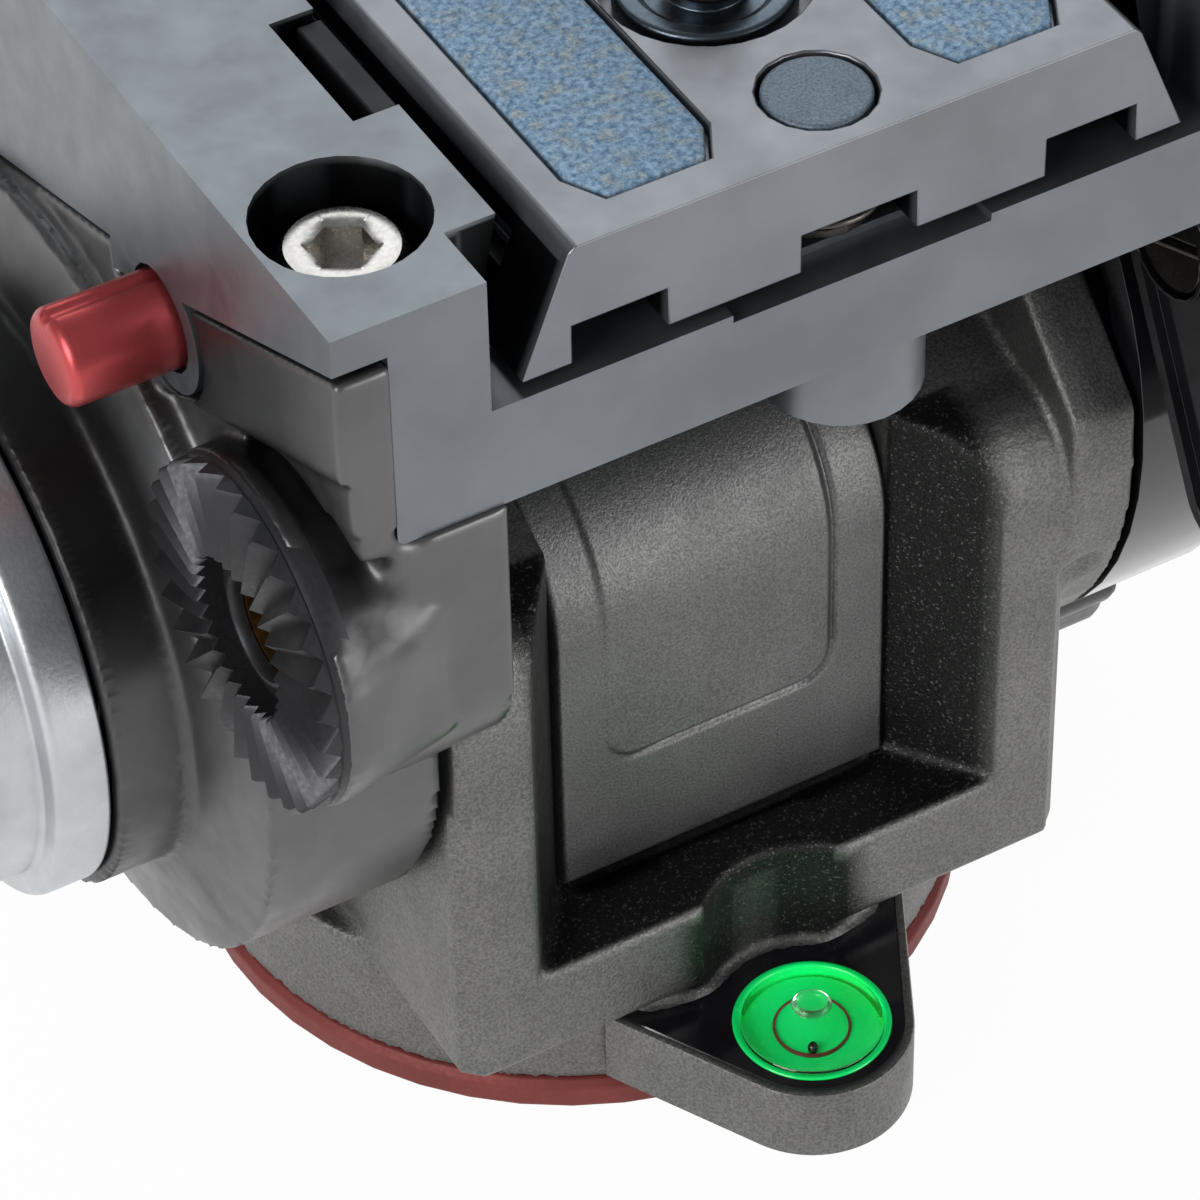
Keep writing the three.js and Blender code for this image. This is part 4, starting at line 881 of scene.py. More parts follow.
class PieceTree(NodeSheet):
    """A Geometry Nodes tree for what repeats or winds."""

    def __init__(self, name: str, **kinds: str) -> None:
        """Starts a tree that takes a geometry, some inputs and a material.

        Args:
            name: Name of the tree.
            **kinds: Socket type of each input.
        """
        super().__init__(bpy.data.node_groups.new(name, "GeometryNodeTree"))
        self.keys: dict[str, str] = {}
        for label, kind in {"Geometry": "Geometry", **kinds, "Material": "Material"}.items():
            made = self.tree.interface.new_socket(label, in_out="INPUT", socket_type=f"NodeSocket{kind}")
            self.keys[label] = made.identifier
        self.tree.interface.new_socket("Geometry", in_out="OUTPUT", socket_type="NodeSocketGeometry")
        self.given = self.tree.nodes.new("NodeGroupInput").outputs

    def run(
        self, piece: bpy.types.Object, shape: bpy.types.NodeSocket, finish: bpy.types.Material,
        place: Matrix | None = None, lift: float = 0.0, **values: object,
    ) -> bpy.types.Object:
        """Ends the tree in real copies with their material, and keeps the plain result on a piece.

        Args:
            piece: The piece.
            shape: The geometry to end with.
            finish: The material.
            place: Where the result goes, its lengths in millimetres.
            lift: How far it is raised before that, in metres.
            **values: Values of the tree's inputs.

        Returns:
            The same piece.
        """
        real = self.feed("GeometryNodeRealizeInstances", {"Geometry": shape})
        paint = self.feed("GeometryNodeSetMaterial", {"Geometry": real, "Material": self.given["Material"]})
        self.tree.links.new(paint, self.tree.nodes.new("NodeGroupOutput").inputs[0])
        step = piece.modifiers.new(self.tree.name, "NODES")
        step.node_group = self.tree
        for label, value in {**values, "Material": finish}.items():
            step[self.keys[label]] = value
        Shaping.plain_mesh(piece, finish)
        made = bmesh.new()
        made.from_mesh(piece.data)
        bmesh.ops.remove_doubles(made, verts=made.verts, dist=MERGE * MM)
        bmesh.ops.translate(made, verts=made.verts, vec=(0, 0, lift))
        Shaping.shade(made, SHARP)
        made.to_mesh(piece.data)
        made.free()
        if place is not None:
            turn = place.to_3x3().to_4x4()
            piece.data.transform(Matrix.Translation(place.translation * MM) @ turn)
        return piece


class Repeats:
    """Rings, copies and coils."""

    @staticmethod
    def ring(piece: bpy.types.Object, count: int, finish: bpy.types.Material, place: Matrix) -> None:
        """Repeats a piece round its own Z axis and takes the ring to its place.

        Args:
            piece: The piece, made at the origin in metres.
            count: How many there are.
            finish: Its material.
            place: Where the ring goes.
        """
        tree = PieceTree("ring_of_teeth", Count="Int", Step="Float")
        index = tree.feed("GeometryNodeInputIndex")
        turn = tree.feed("ShaderNodeMath", {0: index, 1: tree.given["Step"]}, operation="MULTIPLY")
        copies = tree.feed("GeometryNodeInstanceOnPoints", {
            "Points": tree.feed("GeometryNodePoints", {"Count": tree.given["Count"]}),
            "Instance": tree.given["Geometry"], "Rotation": tree.feed("ShaderNodeCombineXYZ", {"Z": turn}),
        })
        tree.run(piece, copies, finish, place, Count=count, Step=2 * math.pi / count)

    @staticmethod
    def spread(piece: bpy.types.Object, places: list[Triple], finish: bpy.types.Material) -> None:
        """Sets copies of a piece at given places.

        Args:
            piece: The piece, made at the origin in metres.
            places: The places in millimetres, their Y from the pan axis.
            finish: Its material.
        """
        values = {
            f"Place_{number}": (x * MM, (y + PAN_AXIS_Y) * MM, z * MM)
            for number, (x, y, z) in enumerate(places)
        }
        tree = PieceTree("screws_in_place", **dict.fromkeys(values, "Vector"))
        join = tree.tree.nodes.new("GeometryNodeJoinGeometry")
        for label in values:
            moved = tree.feed("GeometryNodeTransform", {
                "Geometry": tree.given["Geometry"], "Translation": tree.given[label],
            })
            tree.tree.links.new(moved, join.inputs[0])
        tree.run(piece, join.outputs[0], finish, **values)

    @staticmethod
    def coil(
        name: str, sizes: tuple[float, float, float, float], finish: bpy.types.Material, place: Matrix,
        body: Body, *nodes: str,
    ) -> bpy.types.Object:
        """A wire wound about Z from height 0 up, taken to its place on a body.

        Args:
            name: Name of the piece.
            sizes: Radius of the wire's centre line, radius of the wire, height of the coil, turns.
            finish: Its material.
            place: Where it goes.
            body: The body that carries it.
            *nodes: The parts that it stands for.

        Returns:
            The coil.
        """
        radius, wire, height, turns = sizes
        tree = PieceTree("wound_wire", Turns="Float", Radius="Float", Height="Float", Wire="Float")
        spiral = tree.feed("GeometryNodeCurveSpiral", {
            "Resolution": COIL_STEPS, "Rotations": tree.given["Turns"], "Start Radius": tree.given["Radius"],
            "End Radius": tree.given["Radius"], "Height": tree.given["Height"],
        })
        outline = tree.feed("GeometryNodeCurvePrimitiveCircle", {
            "Resolution": WIRE_SIDES, "Radius": tree.given["Wire"],
        })
        skin = tree.feed("GeometryNodeCurveToMesh", {
            "Curve": spiral, "Profile Curve": outline, "Fill Caps": True,
        })
        piece = Shaping.link(name, bpy.data.meshes.new(name), finish)
        tree.run(
            piece, skin, finish, place, wire * MM, Turns=float(turns), Radius=radius * MM, Wire=wire * MM,
            Height=(height - 2 * wire) * MM,
        )
        return Shaping.settle(piece, body, *nodes)


@dataclass(frozen=True)
class Lamp:
    """A soft box that faces the head, in metres and watts."""

    name: str
    place: Triple
    size: tuple[float, float]
    power: float
    tint: Triple = (1.0, 1.0, 1.0)

    def hang(self, scene: bpy.types.Scene) -> None:
        """Hangs the lamp.

        Args:
            scene: The scene that it lights.
        """
        data = bpy.data.lights.new(self.name, "AREA")
        data.shape = "RECTANGLE"
        data.size, data.size_y = self.size
        data.energy = self.power
        data.color = self.tint
        lamp = bpy.data.objects.new(self.name, data)
        lamp.location = self.place
        aim = Vector((0, 0, 0.055)) - Vector(self.place)
        lamp.rotation_euler = aim.to_track_quat("-Z", "Y").to_euler()
        scene.collection.objects.link(lamp)


@dataclass
class Studio:
    """Camera, lamps and the white ground under the head."""

    scene: bpy.types.Scene
    lens: float = 175.84
    sensor: float = 36.0
    right: Triple = (0.86552, -0.50055, -0.01777)
    up: Triple = (0.35713, 0.59188, 0.72258)
    back: Triple = (-0.35118, -0.63177, 0.69105)
    eye: Triple = (-155.21, -284.43, 334.09)
    floor_reach: float = 3.0
    floor_white: float = 0.97
    floor_shade: float = 0.8
    room_light: float = 0.22
    daylight: Triple = (0.95, 0.98, 1.0)

    def set_camera(self) -> None:
        """Puts the camera where the photograph was taken from."""
        self.scene.view_settings.view_transform = "Standard"
        data = bpy.data.cameras.new("photograph_view")
        data.lens = self.lens
        data.sensor_width = self.sensor
        data.clip_start = 0.01
        camera = bpy.data.objects.new("photograph_view", data)
        self.scene.collection.objects.link(camera)
        turn = Matrix((self.right, self.up, self.back)).transposed().to_4x4()
        x, y, z = self.eye
        place = Vector((x, y + PAN_AXIS_Y, z)) * MM
        camera.matrix_world = Matrix.Translation(place) @ turn
        self.scene.camera = camera

    def _background(self) -> bpy.types.Material:
        """A ground that is white to the camera and to mirrors and else keeps a faint shadow.

        Returns:
            The material.
        """
        tree = ShaderTree("white_floor")
        nodes, shade = tree.tree.nodes, self.floor_shade
        tone = tree.blend(tree.noise(4.0, 2.0), (shade, shade, shade), (shade * 1.01, shade * 1.01, shade))
        path = tree.feed("ShaderNodeLightPath").node.outputs
        seen = tree.most(tree.most(path["Is Camera Ray"], path["Is Glossy Ray"]), path["Is Transmission Ray"])
        mix = tree.feed("ShaderNodeMixShader", {
            "Fac": tree.feed("ShaderNodeMath", {0: seen, 1: self.floor_white}, operation="MULTIPLY"),
            1: tree.feed("ShaderNodeBsdfDiffuse", {"Color": tone}),
            2: tree.feed("ShaderNodeEmission", {"Color": (1, 1, 1, 1)}),
        })
        nodes.remove(tree.shader)
        tree.tree.links.new(mix, nodes["Material Output"].inputs["Surface"])
        return tree.material

    def set_ground(self) -> None:
        """Lays the floor."""
        shape = bmesh.new()
        reach = self.floor_reach
        corners = ((-reach, -reach, 0), (reach, -reach, 0), (reach, reach, 0), (-reach, reach, 0))
        shape.faces.new([shape.verts.new(corner) for corner in corners])
        floor = Shaping.loose("floor", shape, self._background())

    def set_lights(self) -> None:
        """Hangs the soft boxes and lights the room evenly."""
        world = bpy.data.worlds.new("pale_room")
        world.use_nodes = True
        self.scene.world = world
        ground = world.node_tree.nodes["Background"]
        ground.inputs["Color"].default_value = (*self.daylight, 1)
        ground.inputs["Strength"].default_value = self.room_light
        for lamp in (
            Lamp("soft_box_front", (0.35, 0.75, 0.75), (1.0, 0.8), 4.2, self.daylight),
            Lamp("soft_box_left", (-0.95, -0.35, 0.5), (0.6, 0.6), 8.5),
            Lamp("soft_box_rear_right", (0.55, -0.95, 0.25), (0.5, 0.5), 4.5),
        ):
            lamp.hang(self.scene)


def dress(finish: bpy.types.Material, *nodes: str) -> None:
    """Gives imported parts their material.

    Args:
        finish: The material.
        *nodes: The parts.
    """
    for node in nodes:
        for slot in FRAME_NODES[node].material_slots:
            slot.material = finish


@dataclass
class RedBase:
    """The red disc under the head, with its tripod thread and the pan spindle."""

    finishes: Finishes
    edge: float = 0.3
    thread: tuple[float, float, float, float] = (4.45, 0.55, 9.4, 5.5)
    thread_low: float = 0.2

    def build(self) -> None:
        """Makes and dresses the base."""
        f = self.finishes
        Shaping.softened("base_plate", f.red_disc, self.edge, Body.BASE)
        Shaping.softened("tripod_socket", f.steel, 0.0, Body.BASE)
        place = Shaping.place(0, 0, self.thread_low)
        Repeats.coil("tripod_thread_ridges", self.thread, f.steel, place, Body.BASE)
        dress(f.steel, "pan_spindle", "spindle_washer", "spindle_nut")
        dress(f.dark_steel, "base_screw_1", "base_screw_2", "base_screw_3")
        dress(f.bronze, "pan_thrust_washer")


@dataclass
class RearCover:
    """Cover of the niche: a bent sheet with a raised field between two rounded corners."""

    finishes: Finishes
    half_width: float = 13.7
    face: float = -23.5
    low: float = 21.3
    bend: float = 45.0
    bend_radius: float = 12.0
    top: float = 55.6
    thickness: float = 2.5
    field_left: float = -9.9
    field_right: float = 8.8
    field_low: float = 32.3
    field_corner: float = 2.6
    field_rise: float = 0.24
    field_edge: float = 0.5
    groove_width: float = 0.24
    groove_depth: float = 0.36
    groove_start: float = 1.0
    groove_run: float = 4
    cell: float = 0.16
    rim: float = 0.3

    def _raised(self, x: float, run: float) -> float:
        """How far the field stands out at a place.

        Args:
            x: Place across the cover.
            run: Place up its face, as a height before the bend.

        Returns:
            The rise in millimetres.
        """
        middle = (self.field_left + self.field_right) / 2
        half = (self.field_right - self.field_left) / 2 - self.field_corner
        across = abs(x - middle) - half
        under = self.field_low + self.field_corner - run
        corner = math.hypot(across, under) if under > 0 and across > 0 else max(across, under)
        gap = corner - self.field_corner
        share = min(1.0, max(0.0, 0.5 - gap / self.field_edge))
        line = math.exp(-((gap - self.field_edge) / self.groove_width) ** 2)
        line *= min(1.0, max(0.0, (x - self.field_left - self.groove_start) / self.groove_run))
        return self.field_rise * share * share * (3 - 2 * share) - self.groove_depth * line

    def _point(self, x: float, run: float, depth: float) -> Triple:
        """A point of the cover, depth behind its face.

        Args:
            x: Place across the cover.
            run: Place up its face.
            depth: How far behind the face, less than nothing in front of it.

        Returns:
            The point in millimetres.
        """
        if run <= self.bend:
            return (x, self.face + depth, run)
        angle = (run - self.bend) / self.bend_radius
        reach = self.bend_radius - depth
        centre = self.face + self.bend_radius
        return (x, centre - reach * math.cos(angle), self.bend + reach * math.sin(angle))

    def build(self) -> None:
        """Makes the cover."""
        last = self.bend + self.bend_radius * math.asin((self.top - self.bend) / self.bend_radius)
        columns = int(2 * self.half_width / self.cell)
        rows = int((last - self.low) / self.cell)
        rings = []
        for row in range(rows + 1):
            run = self.low + (last - self.low) * row / rows
            ring = []
            for column in range(columns + 1):
                x = -self.half_width + 2 * self.half_width * column / columns
                near = min(self.half_width - abs(x), run - self.low, last - run)
                drop = max(0.0, self.rim - near)
                depth = drop * drop / self.rim - self._raised(x, run)
                ring.append(self._point(x, run, depth))
            ring.append(self._point(self.half_width, run, self.thickness))
            ring.append(self._point(-self.half_width, run, self.thickness))
            rings.append(ring)
        place = Shaping.place(0, 0, 0)
        piece = Shaping.closed("rear_cover", Shaping.stacked(rings), place, self.finishes.panel, TURNED_SHARP)
        Shaping.settle(piece, Body.PAN, "rear_panel")


@dataclass
class LevelMount:
    """Rim of the lug and the glossy plate round the level."""

    finishes: Finishes
    centre: float = -36.0
    end_radius: float = 7.5
    root_half_width: float = 13.1
    root_reach: float = 8.5
    bore: float = 5.98
    rim: float = 0.6
    skin: float = 0.12
    low: float = 3.95
    high: float = 10.82
    plate_low: float = 9.4
    plate_high: float = 10.74
    steps: int = 180

    def _reach(self, angle: float, inset: float) -> float:
        """Distance from the level's axis to the outline of the lug.

        Args:
            angle: Direction from the axis.
            inset: How far inside the outline.

        Returns:
            The distance in millimetres.
        """
        turn = math.atan2(math.sin(angle), abs(math.cos(angle)))
        root = Vector((self.root_half_width - inset, self.root_reach))
        radius = self.end_radius - inset
        corner = math.atan2(root.y, root.x)
        tangent = corner - math.acos(radius / root.length)
        if turn < tangent:
            return radius
        return radius / math.cos(turn - tangent) if turn < corner else root.y / math.sin(turn)

    def _collar(
        self, name: str, levels: list[tuple[float, float | None]], finish: bpy.types.Material, *nodes: str,
    ) -> None:
        """Makes a band round the level that follows the lug.

        Args:
            name: Name of the piece.
            levels: (height, inset from the outline) round the band's section, no inset for the bore.
            finish: Its material.
            *nodes: The parts that it stands for.
        """
        shape = bmesh.new()
        angles = [2 * math.pi * step / self.steps for step in range(self.steps)]
        rings = []
        for height, inset in levels:
            reaches = [self.bore if inset is None else self._reach(angle, inset) for angle in angles]
            rings.append([
                shape.verts.new((reach * math.cos(angle), reach * math.sin(angle), height))
                for reach, angle in zip(reaches, angles)
            ])
        for ring, next_ring in zip(rings, [*rings[1:], rings[0]]):
            for step in range(self.steps):
                after = (step + 1) % self.steps
                shape.faces.new((ring[step], ring[after], next_ring[after], next_ring[step]))
        piece = Shaping.closed(name, shape, Shaping.place(0, self.centre, 0), finish)
        Shaping.settle(piece, Body.PAN, *nodes)

    def build(self) -> None:
        """Makes the rim and the plate."""
        skin, rim, high = -self.skin, self.rim, self.high
        self._collar("lug_rim", [
            (self.low + 0.35, skin), (high - 0.3, skin), (high - 0.08, skin + 0.1), (high, skin + 0.28),
            (high, rim - 0.2), (high - 0.15, rim), (self.plate_low, rim), (self.plate_low, rim + 0.4),
            (self.low, rim + 0.4), (self.low, skin + 0.3),
        ], self.finishes.casting)
        self._collar("level_plate", [
            (self.plate_low, rim), (self.plate_high - 0.1, rim), (self.plate_high, rim + 0.12),
            (self.plate_high, None), (self.plate_low, None),
        ], self.finishes.gloss, "vial_plate")


@dataclass
class BubbleLevel:
    """Round level at the rear: a clear dome over green liquid, a ring and a bubble."""

    finishes: Finishes
    centre: float = -36.0
    radius: float = 5.95
    low: float = 5.9
    rim_height: float = 10.9
    wall: float = 0.5
    liquid_height: float = 9.7
    dome_low: float = 9.9
    dome_top: float = 11.7
    ring_radius: float = 2.7
    ring_wire: float = 0.11
    bubble_radius: float = 1.5
    bubble_place: tuple[float, float] = (0.7, 1.2)
    dot_radius: float = 0.38
    dot_place: tuple[float, float] = (-1.15, -2.0)

    def _turned(
        self, name: str, profile: Profile, finish: bpy.types.Material,
        shift: tuple[float, float] = (0.0, 0.0), sides: int = 96,
    ) -> bpy.types.Object:
        """Makes one turned piece of the level.

        Args:
            name: Name of the piece.
            profile: Its (radius, height) points.
            finish: Its material.
            shift: Shift from the level's axis.
            sides: Steps round its axis.

        Returns:
            The piece, riding on the pan body.
        """
        place = Shaping.place(shift[0], self.centre + shift[1], 0)
        piece = Shaping.closed(name, Shaping.turned(profile, sides), place, finish)
        return Shaping.settle(piece, Body.PAN)

    def build(self) -> None:
        """Makes the level."""
        f = self.finishes
        inner = self.radius - self.wall
        rise = self.liquid_height
        cup = self._turned("vial_cup", Shaping.rounded([
            (0, self.low, 0), (self.radius, self.low, 0.2), (self.radius, self.rim_height, 0.35),
            (inner, self.rim_height, 0.3), (inner - 0.5, rise - 0.6, 0.3), (0, rise - 0.6, 0),
        ]), f.liquid)
        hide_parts("vial")
        self._turned("vial_floor", Shaping.rounded([
            (0, rise - 0.5, 0), (inner - 0.7, rise - 0.5, 0), (inner - 0.7, rise, 0.2), (0, rise - 0.05, 0),
        ]), f.liquid)
        ring = [(
            self.ring_radius + self.ring_wire * math.cos(a), rise + 0.05 + self.ring_wire * math.sin(a),
        ) for a in (step * math.pi / 4 for step in range(8))]
        self._turned("vial_ring", [*ring, ring[0]], f.ring)
        size = self.bubble_radius
        cap = [(size * math.sin(a), rise + 0.1 + 0.42 * size * (1 - math.cos(a)))
               for a in (step * math.pi / 14 for step in range(15))]
        bubble = [(0, cap[0][1]), *cap[1:-1], (0, cap[-1][1])]
        self._turned("vial_bubble", bubble, f.glass, self.bubble_place, 48)
        size = self.dot_radius
        dot = [(size * math.sin(a), rise + 0.3 - size * math.cos(a))
               for a in (step * math.pi / 8 for step in range(1, 8))]
        ball = [(0, rise + 0.3 - size), *dot, (0, rise + 0.3 + size)]
        self._turned("vial_dot", ball, f.dark_steel, self.dot_place, 24)
        reach = inner - 0.05
        bow = (self.dome_top - 0.75) - self.dome_low
        top = [(reach * math.cos(a), self.dome_low + 0.75 + bow * math.sin(a))
               for a in (step * math.pi / 24 for step in range(12))]
        self._turned("vial_dome", [
            (0, self.dome_low + 0.45), (reach, self.dome_low + 0.45), *top, (0, self.dome_top),
        ], f.glass)


@dataclass
class Knob:
    """A lobed grip on a neck, pointing right."""

    radius: float
    depth: float
    lobes: int
    low: float
    high: float
    neck_radius: float
    neck_low: float
    edge: float = 0.9

    def _lobed(self, radius: float, kind: int, _: int, angle: float) -> float:
        """Radius of a grip's ring at an angle, the neck's where kind is 0."""
        return radius - kind * self.depth / 2 * (1 - math.cos(self.lobes * angle))

    def build(
        self, name: str, y: float, z: float, finish: bpy.types.Material, body: Body, node: str,
    ) -> None:
        """Makes the grip with its neck and a dished face.

        Args:
            name: Name of the piece.
            y: Place of its axis from the pan axis.
            z: Height of its axis.
            finish: Its material.
            body: The body that carries it.
            node: The part it stands for.
        """
        neck, radius, edge = self.neck_radius, self.radius, self.edge
        shape = Shaping.carved(self.lobes * 16, [
            (neck, self.neck_low, 0), (neck, self.low, 0), (radius - 0.5, self.low, 1),
            (radius - edge, self.low, 1), (radius, self.low + edge, 1), (radius, self.high - edge, 1),
            (radius - 0.3 * edge, self.high - 0.3 * edge, 1), (radius - edge, self.high, 1),
            (radius - edge - 1.0, self.high, 1), (radius - edge - 1.5, self.high - 0.5, 1),
        ], self._lobed)
        piece = Shaping.closed(name, shape, Shaping.place(0, y, z, Along.RIGHT), finish)
        Shaping.settle(piece, body, node)


@dataclass
class PanHousing:
    """The dark casting that turns on the base, its lock and what it carries."""

    finishes: Finishes
    cell: float = 0.42
    kept_faces: float = 0.36
    lug_root: Triple = (9.5, -25.5, 17.5)
    foot_radius: float = 30.0
    lock_height: float = 8.4

    def build(self) -> None:
        """Makes and dresses the housing."""
        f = self.finishes
        x, y, z = self.lug_root
        flared = tuple(((side * x, y, z), 5.0, 30) for side in (-1, 1))
        foot = ((2, self.foot_radius),)
        body = Shaping.cast("pan_body", f.casting, self.cell, self.kept_faces, flared, foot)
        Shaping.settle(body, Body.PAN, "pan_body")
        RearCover(f).build()
        LevelMount(f).build()
        BubbleLevel(f).build()
        Knob(6.9, 0.9, 6, 34.0, 47.0, 4.2, 32.0).build(
            "pan_lock_grip", 0, self.lock_height, f.black, Body.PAN_LOCK, "pan_lock_knob",
        )
        dress(f.steel, "pan_lock_stud", "tilt_drag_stator")
        dress(f.black, "pan_brake_pad")
        dress(f.bronze, "pan_bush", "tilt_bush_left", "tilt_bush_right")
        dress(f.dark_steel, "pan_drag_disc")


@dataclass
class ToothedSeat:
    """Ring of radial teeth that takes the pan bar."""

    finishes: Finishes
    y: float = -32.3
    z: float = 68.3
    radius: float = 12.3
    root_radius: float = 12.1
    inner_radius: float = 5.7
    bore: float = 4.5
    lip: float = 3.7
    flange: float = 12.45
    face: float = 42.6
    root_face: float = 41.0
    back: float = 39.1
    hub_face: float = 40.9
    tooth_depth: float = 1.46
    teeth: int = 30
    insert_bore: float = 3.2
    insert_radius: float = 4.38
    insert_low: float = 35.6
    insert_high: float = 39.9

    def _tooth(self) -> bmesh.types.BMesh:
        """One tooth with its share of the ring, open on both flanks.

        Returns:
            The shape about the ring's own axis.
        """
        shape = bmesh.new()
        columns = []
        root, hub, lip = self.root_face, self.hub_face, self.lip
        for share in (-1.0, 0.0, 1.0):
            angle = share * math.pi / self.teeth
            outer = self.root_radius if share else self.radius
            drop = self.tooth_depth if share else 0.0
            crest = self.face - drop
            inner = self.face - drop * self.inner_radius / self.radius
            points = [
                (self.flange, self.back), (self.flange, root - 0.5), (self.flange - 0.25, root),
                (self.radius + 0.06, root + 0.03), (outer, max(crest - 0.3, root + 0.03)),
                (outer - 0.3, crest), (self.inner_radius + 0.25, inner - 0.05),
                (self.inner_radius, inner - 0.3), (self.inner_radius, hub - 0.6),
                (lip + 0.45, hub - 0.6), (lip + 0.3, hub), (lip, hub), (lip - 0.2, hub - 0.3),
                (lip - 0.2, hub - 0.9), (self.bore, hub - 0.9), (self.bore, self.back),
            ]
            columns.append([
                shape.verts.new((r * math.cos(angle), r * math.sin(angle), z)) for r, z in points
            ])
        for left, right in zip(columns, columns[1:]):
            count = len(left)
            for index in range(count):
                after = (index + 1) % count
                shape.faces.new((left[index], right[index], right[after], left[after]))
        return shape

    def build(self) -> None:
        """Makes the seat and its brass insert."""
        f = self.finishes
        place = Shaping.place(0, self.y, self.z, Along.LEFT)
        shape = self._tooth()
        shape.transform(Matrix.Scale(MM, 4))
        ring = Shaping.loose("toothed_seat", shape, f.teeth)
        Repeats.ring(ring, self.teeth, f.teeth, place)
        Shaping.settle(ring, Body.TILT, "rosette")
        near, far, low, high = self.insert_bore, self.insert_radius, self.insert_low, self.insert_high
        section = [(near, low), (far, low), (far, high), (near, high), (near, low)]
        insert = Shaping.closed("brass_insert", Shaping.turned(section, 64), place, f.brass)
        Shaping.settle(insert, Body.TILT, "rosette_insert")


@dataclass
class TurnedCap:
    """A cap over one end of the tilt axle."""

    rim_low: float
    rim_radius: float = 21.7
    rim_width: float = 4.0
    radius: float = 19.7
    face: float = 58.0
    wall: float = 1.8
    dish: float = 0.5

    def build(self, name: str, side: Along, finish: bpy.types.Material, node: str) -> None:
        """Turns the cap.

        Args:
            name: Name of the piece.
            side: Side of the head.
            finish: Its material.
            node: The part it stands for.
        """
        inner = self.radius - self.wall
        step = self.rim_low + self.rim_width
        shape = Shaping.turned(Shaping.rounded([
            (0, self.face - self.wall, 0), (inner, self.face - self.wall, 0.8), (inner, self.rim_low, 0.2),
            (self.rim_radius, self.rim_low, 0.4), (self.rim_radius, step, 0.9),
            (self.radius, step + 0.3, 0.5),
            (self.radius - 0.25, self.face, 1.7), (self.radius - 3.4, self.face, 0.3),
            (self.radius - 3.9, self.face - self.dish, 0.3), (0, self.face - self.dish, 0),
        ], 6), 160)
        piece = Shaping.closed(name, shape, Shaping.place(0, 0, TILT_HEIGHT, side), finish, TURNED_SHARP)
        Shaping.settle(piece, Body.TILT, node)


@dataclass
class LeftDrum:
    """Left cheek with its silver cap, the toothed seat and the balance spring."""

    finishes: Finishes
    cell: float = 0.4
    kept_faces: float = 0.8
    flared: tuple[tuple[Triple, float, int], ...] = (
        ((-37.0, -40.5, 77.5), 5.0, 25), ((-36.4, -41.2, 76.4), 3.4, 45),
    )
    rounds: tuple[float, ...] = (30.4, 27.0, 22.4, 20.8)
    cap_rim: float = 47.8
    spring: tuple[float, float, float, float] = (12.5, 1.1, 15.6, 5)
    spring_x: float = -40.3

    def build(self) -> None:
        """Makes and dresses the drum."""
        f = self.finishes
        drums = tuple((0, radius) for radius in self.rounds)
        cheek = Shaping.cast("left_cheek", f.cheek, self.cell, self.kept_faces, self.flared, drums)
        Shaping.settle(cheek, Body.TILT, "left_cheek")
        TurnedCap(self.cap_rim).build("silver_cap", Along.LEFT, f.silver, "left_cap")
        ToothedSeat(f).build()
        place = Shaping.place(self.spring_x, 0, TILT_HEIGHT, Along.LEFT)
        Repeats.coil("balance_spring", self.spring, f.dark_steel, place, Body.TILT, "counterbalance_spring")
        dress(f.steel, "tilt_axle", "tilt_drag_rotor")


@dataclass
class RightDrum:
    """Glossy right drum with its cap and the lock lever behind it."""

    finishes: Finishes
    edge: float = 0.8
    lever_edge: float = 0.45
    screw_edge: float = 0.2
    cap_rim: float = 42.3

    def build(self) -> None:
        """Makes and dresses the drum."""
        f = self.finishes
        Shaping.softened("right_cheek", f.gloss, self.edge, Body.TILT)
        TurnedCap(self.cap_rim).build("dark_cap", Along.RIGHT, f.black, "right_cap")
        Shaping.softened("tilt_lock_lever", f.gloss, self.lever_edge, Body.LEVER)
        Shaping.softened("tilt_lock_screw", f.dark_steel, self.screw_edge, Body.TILT)


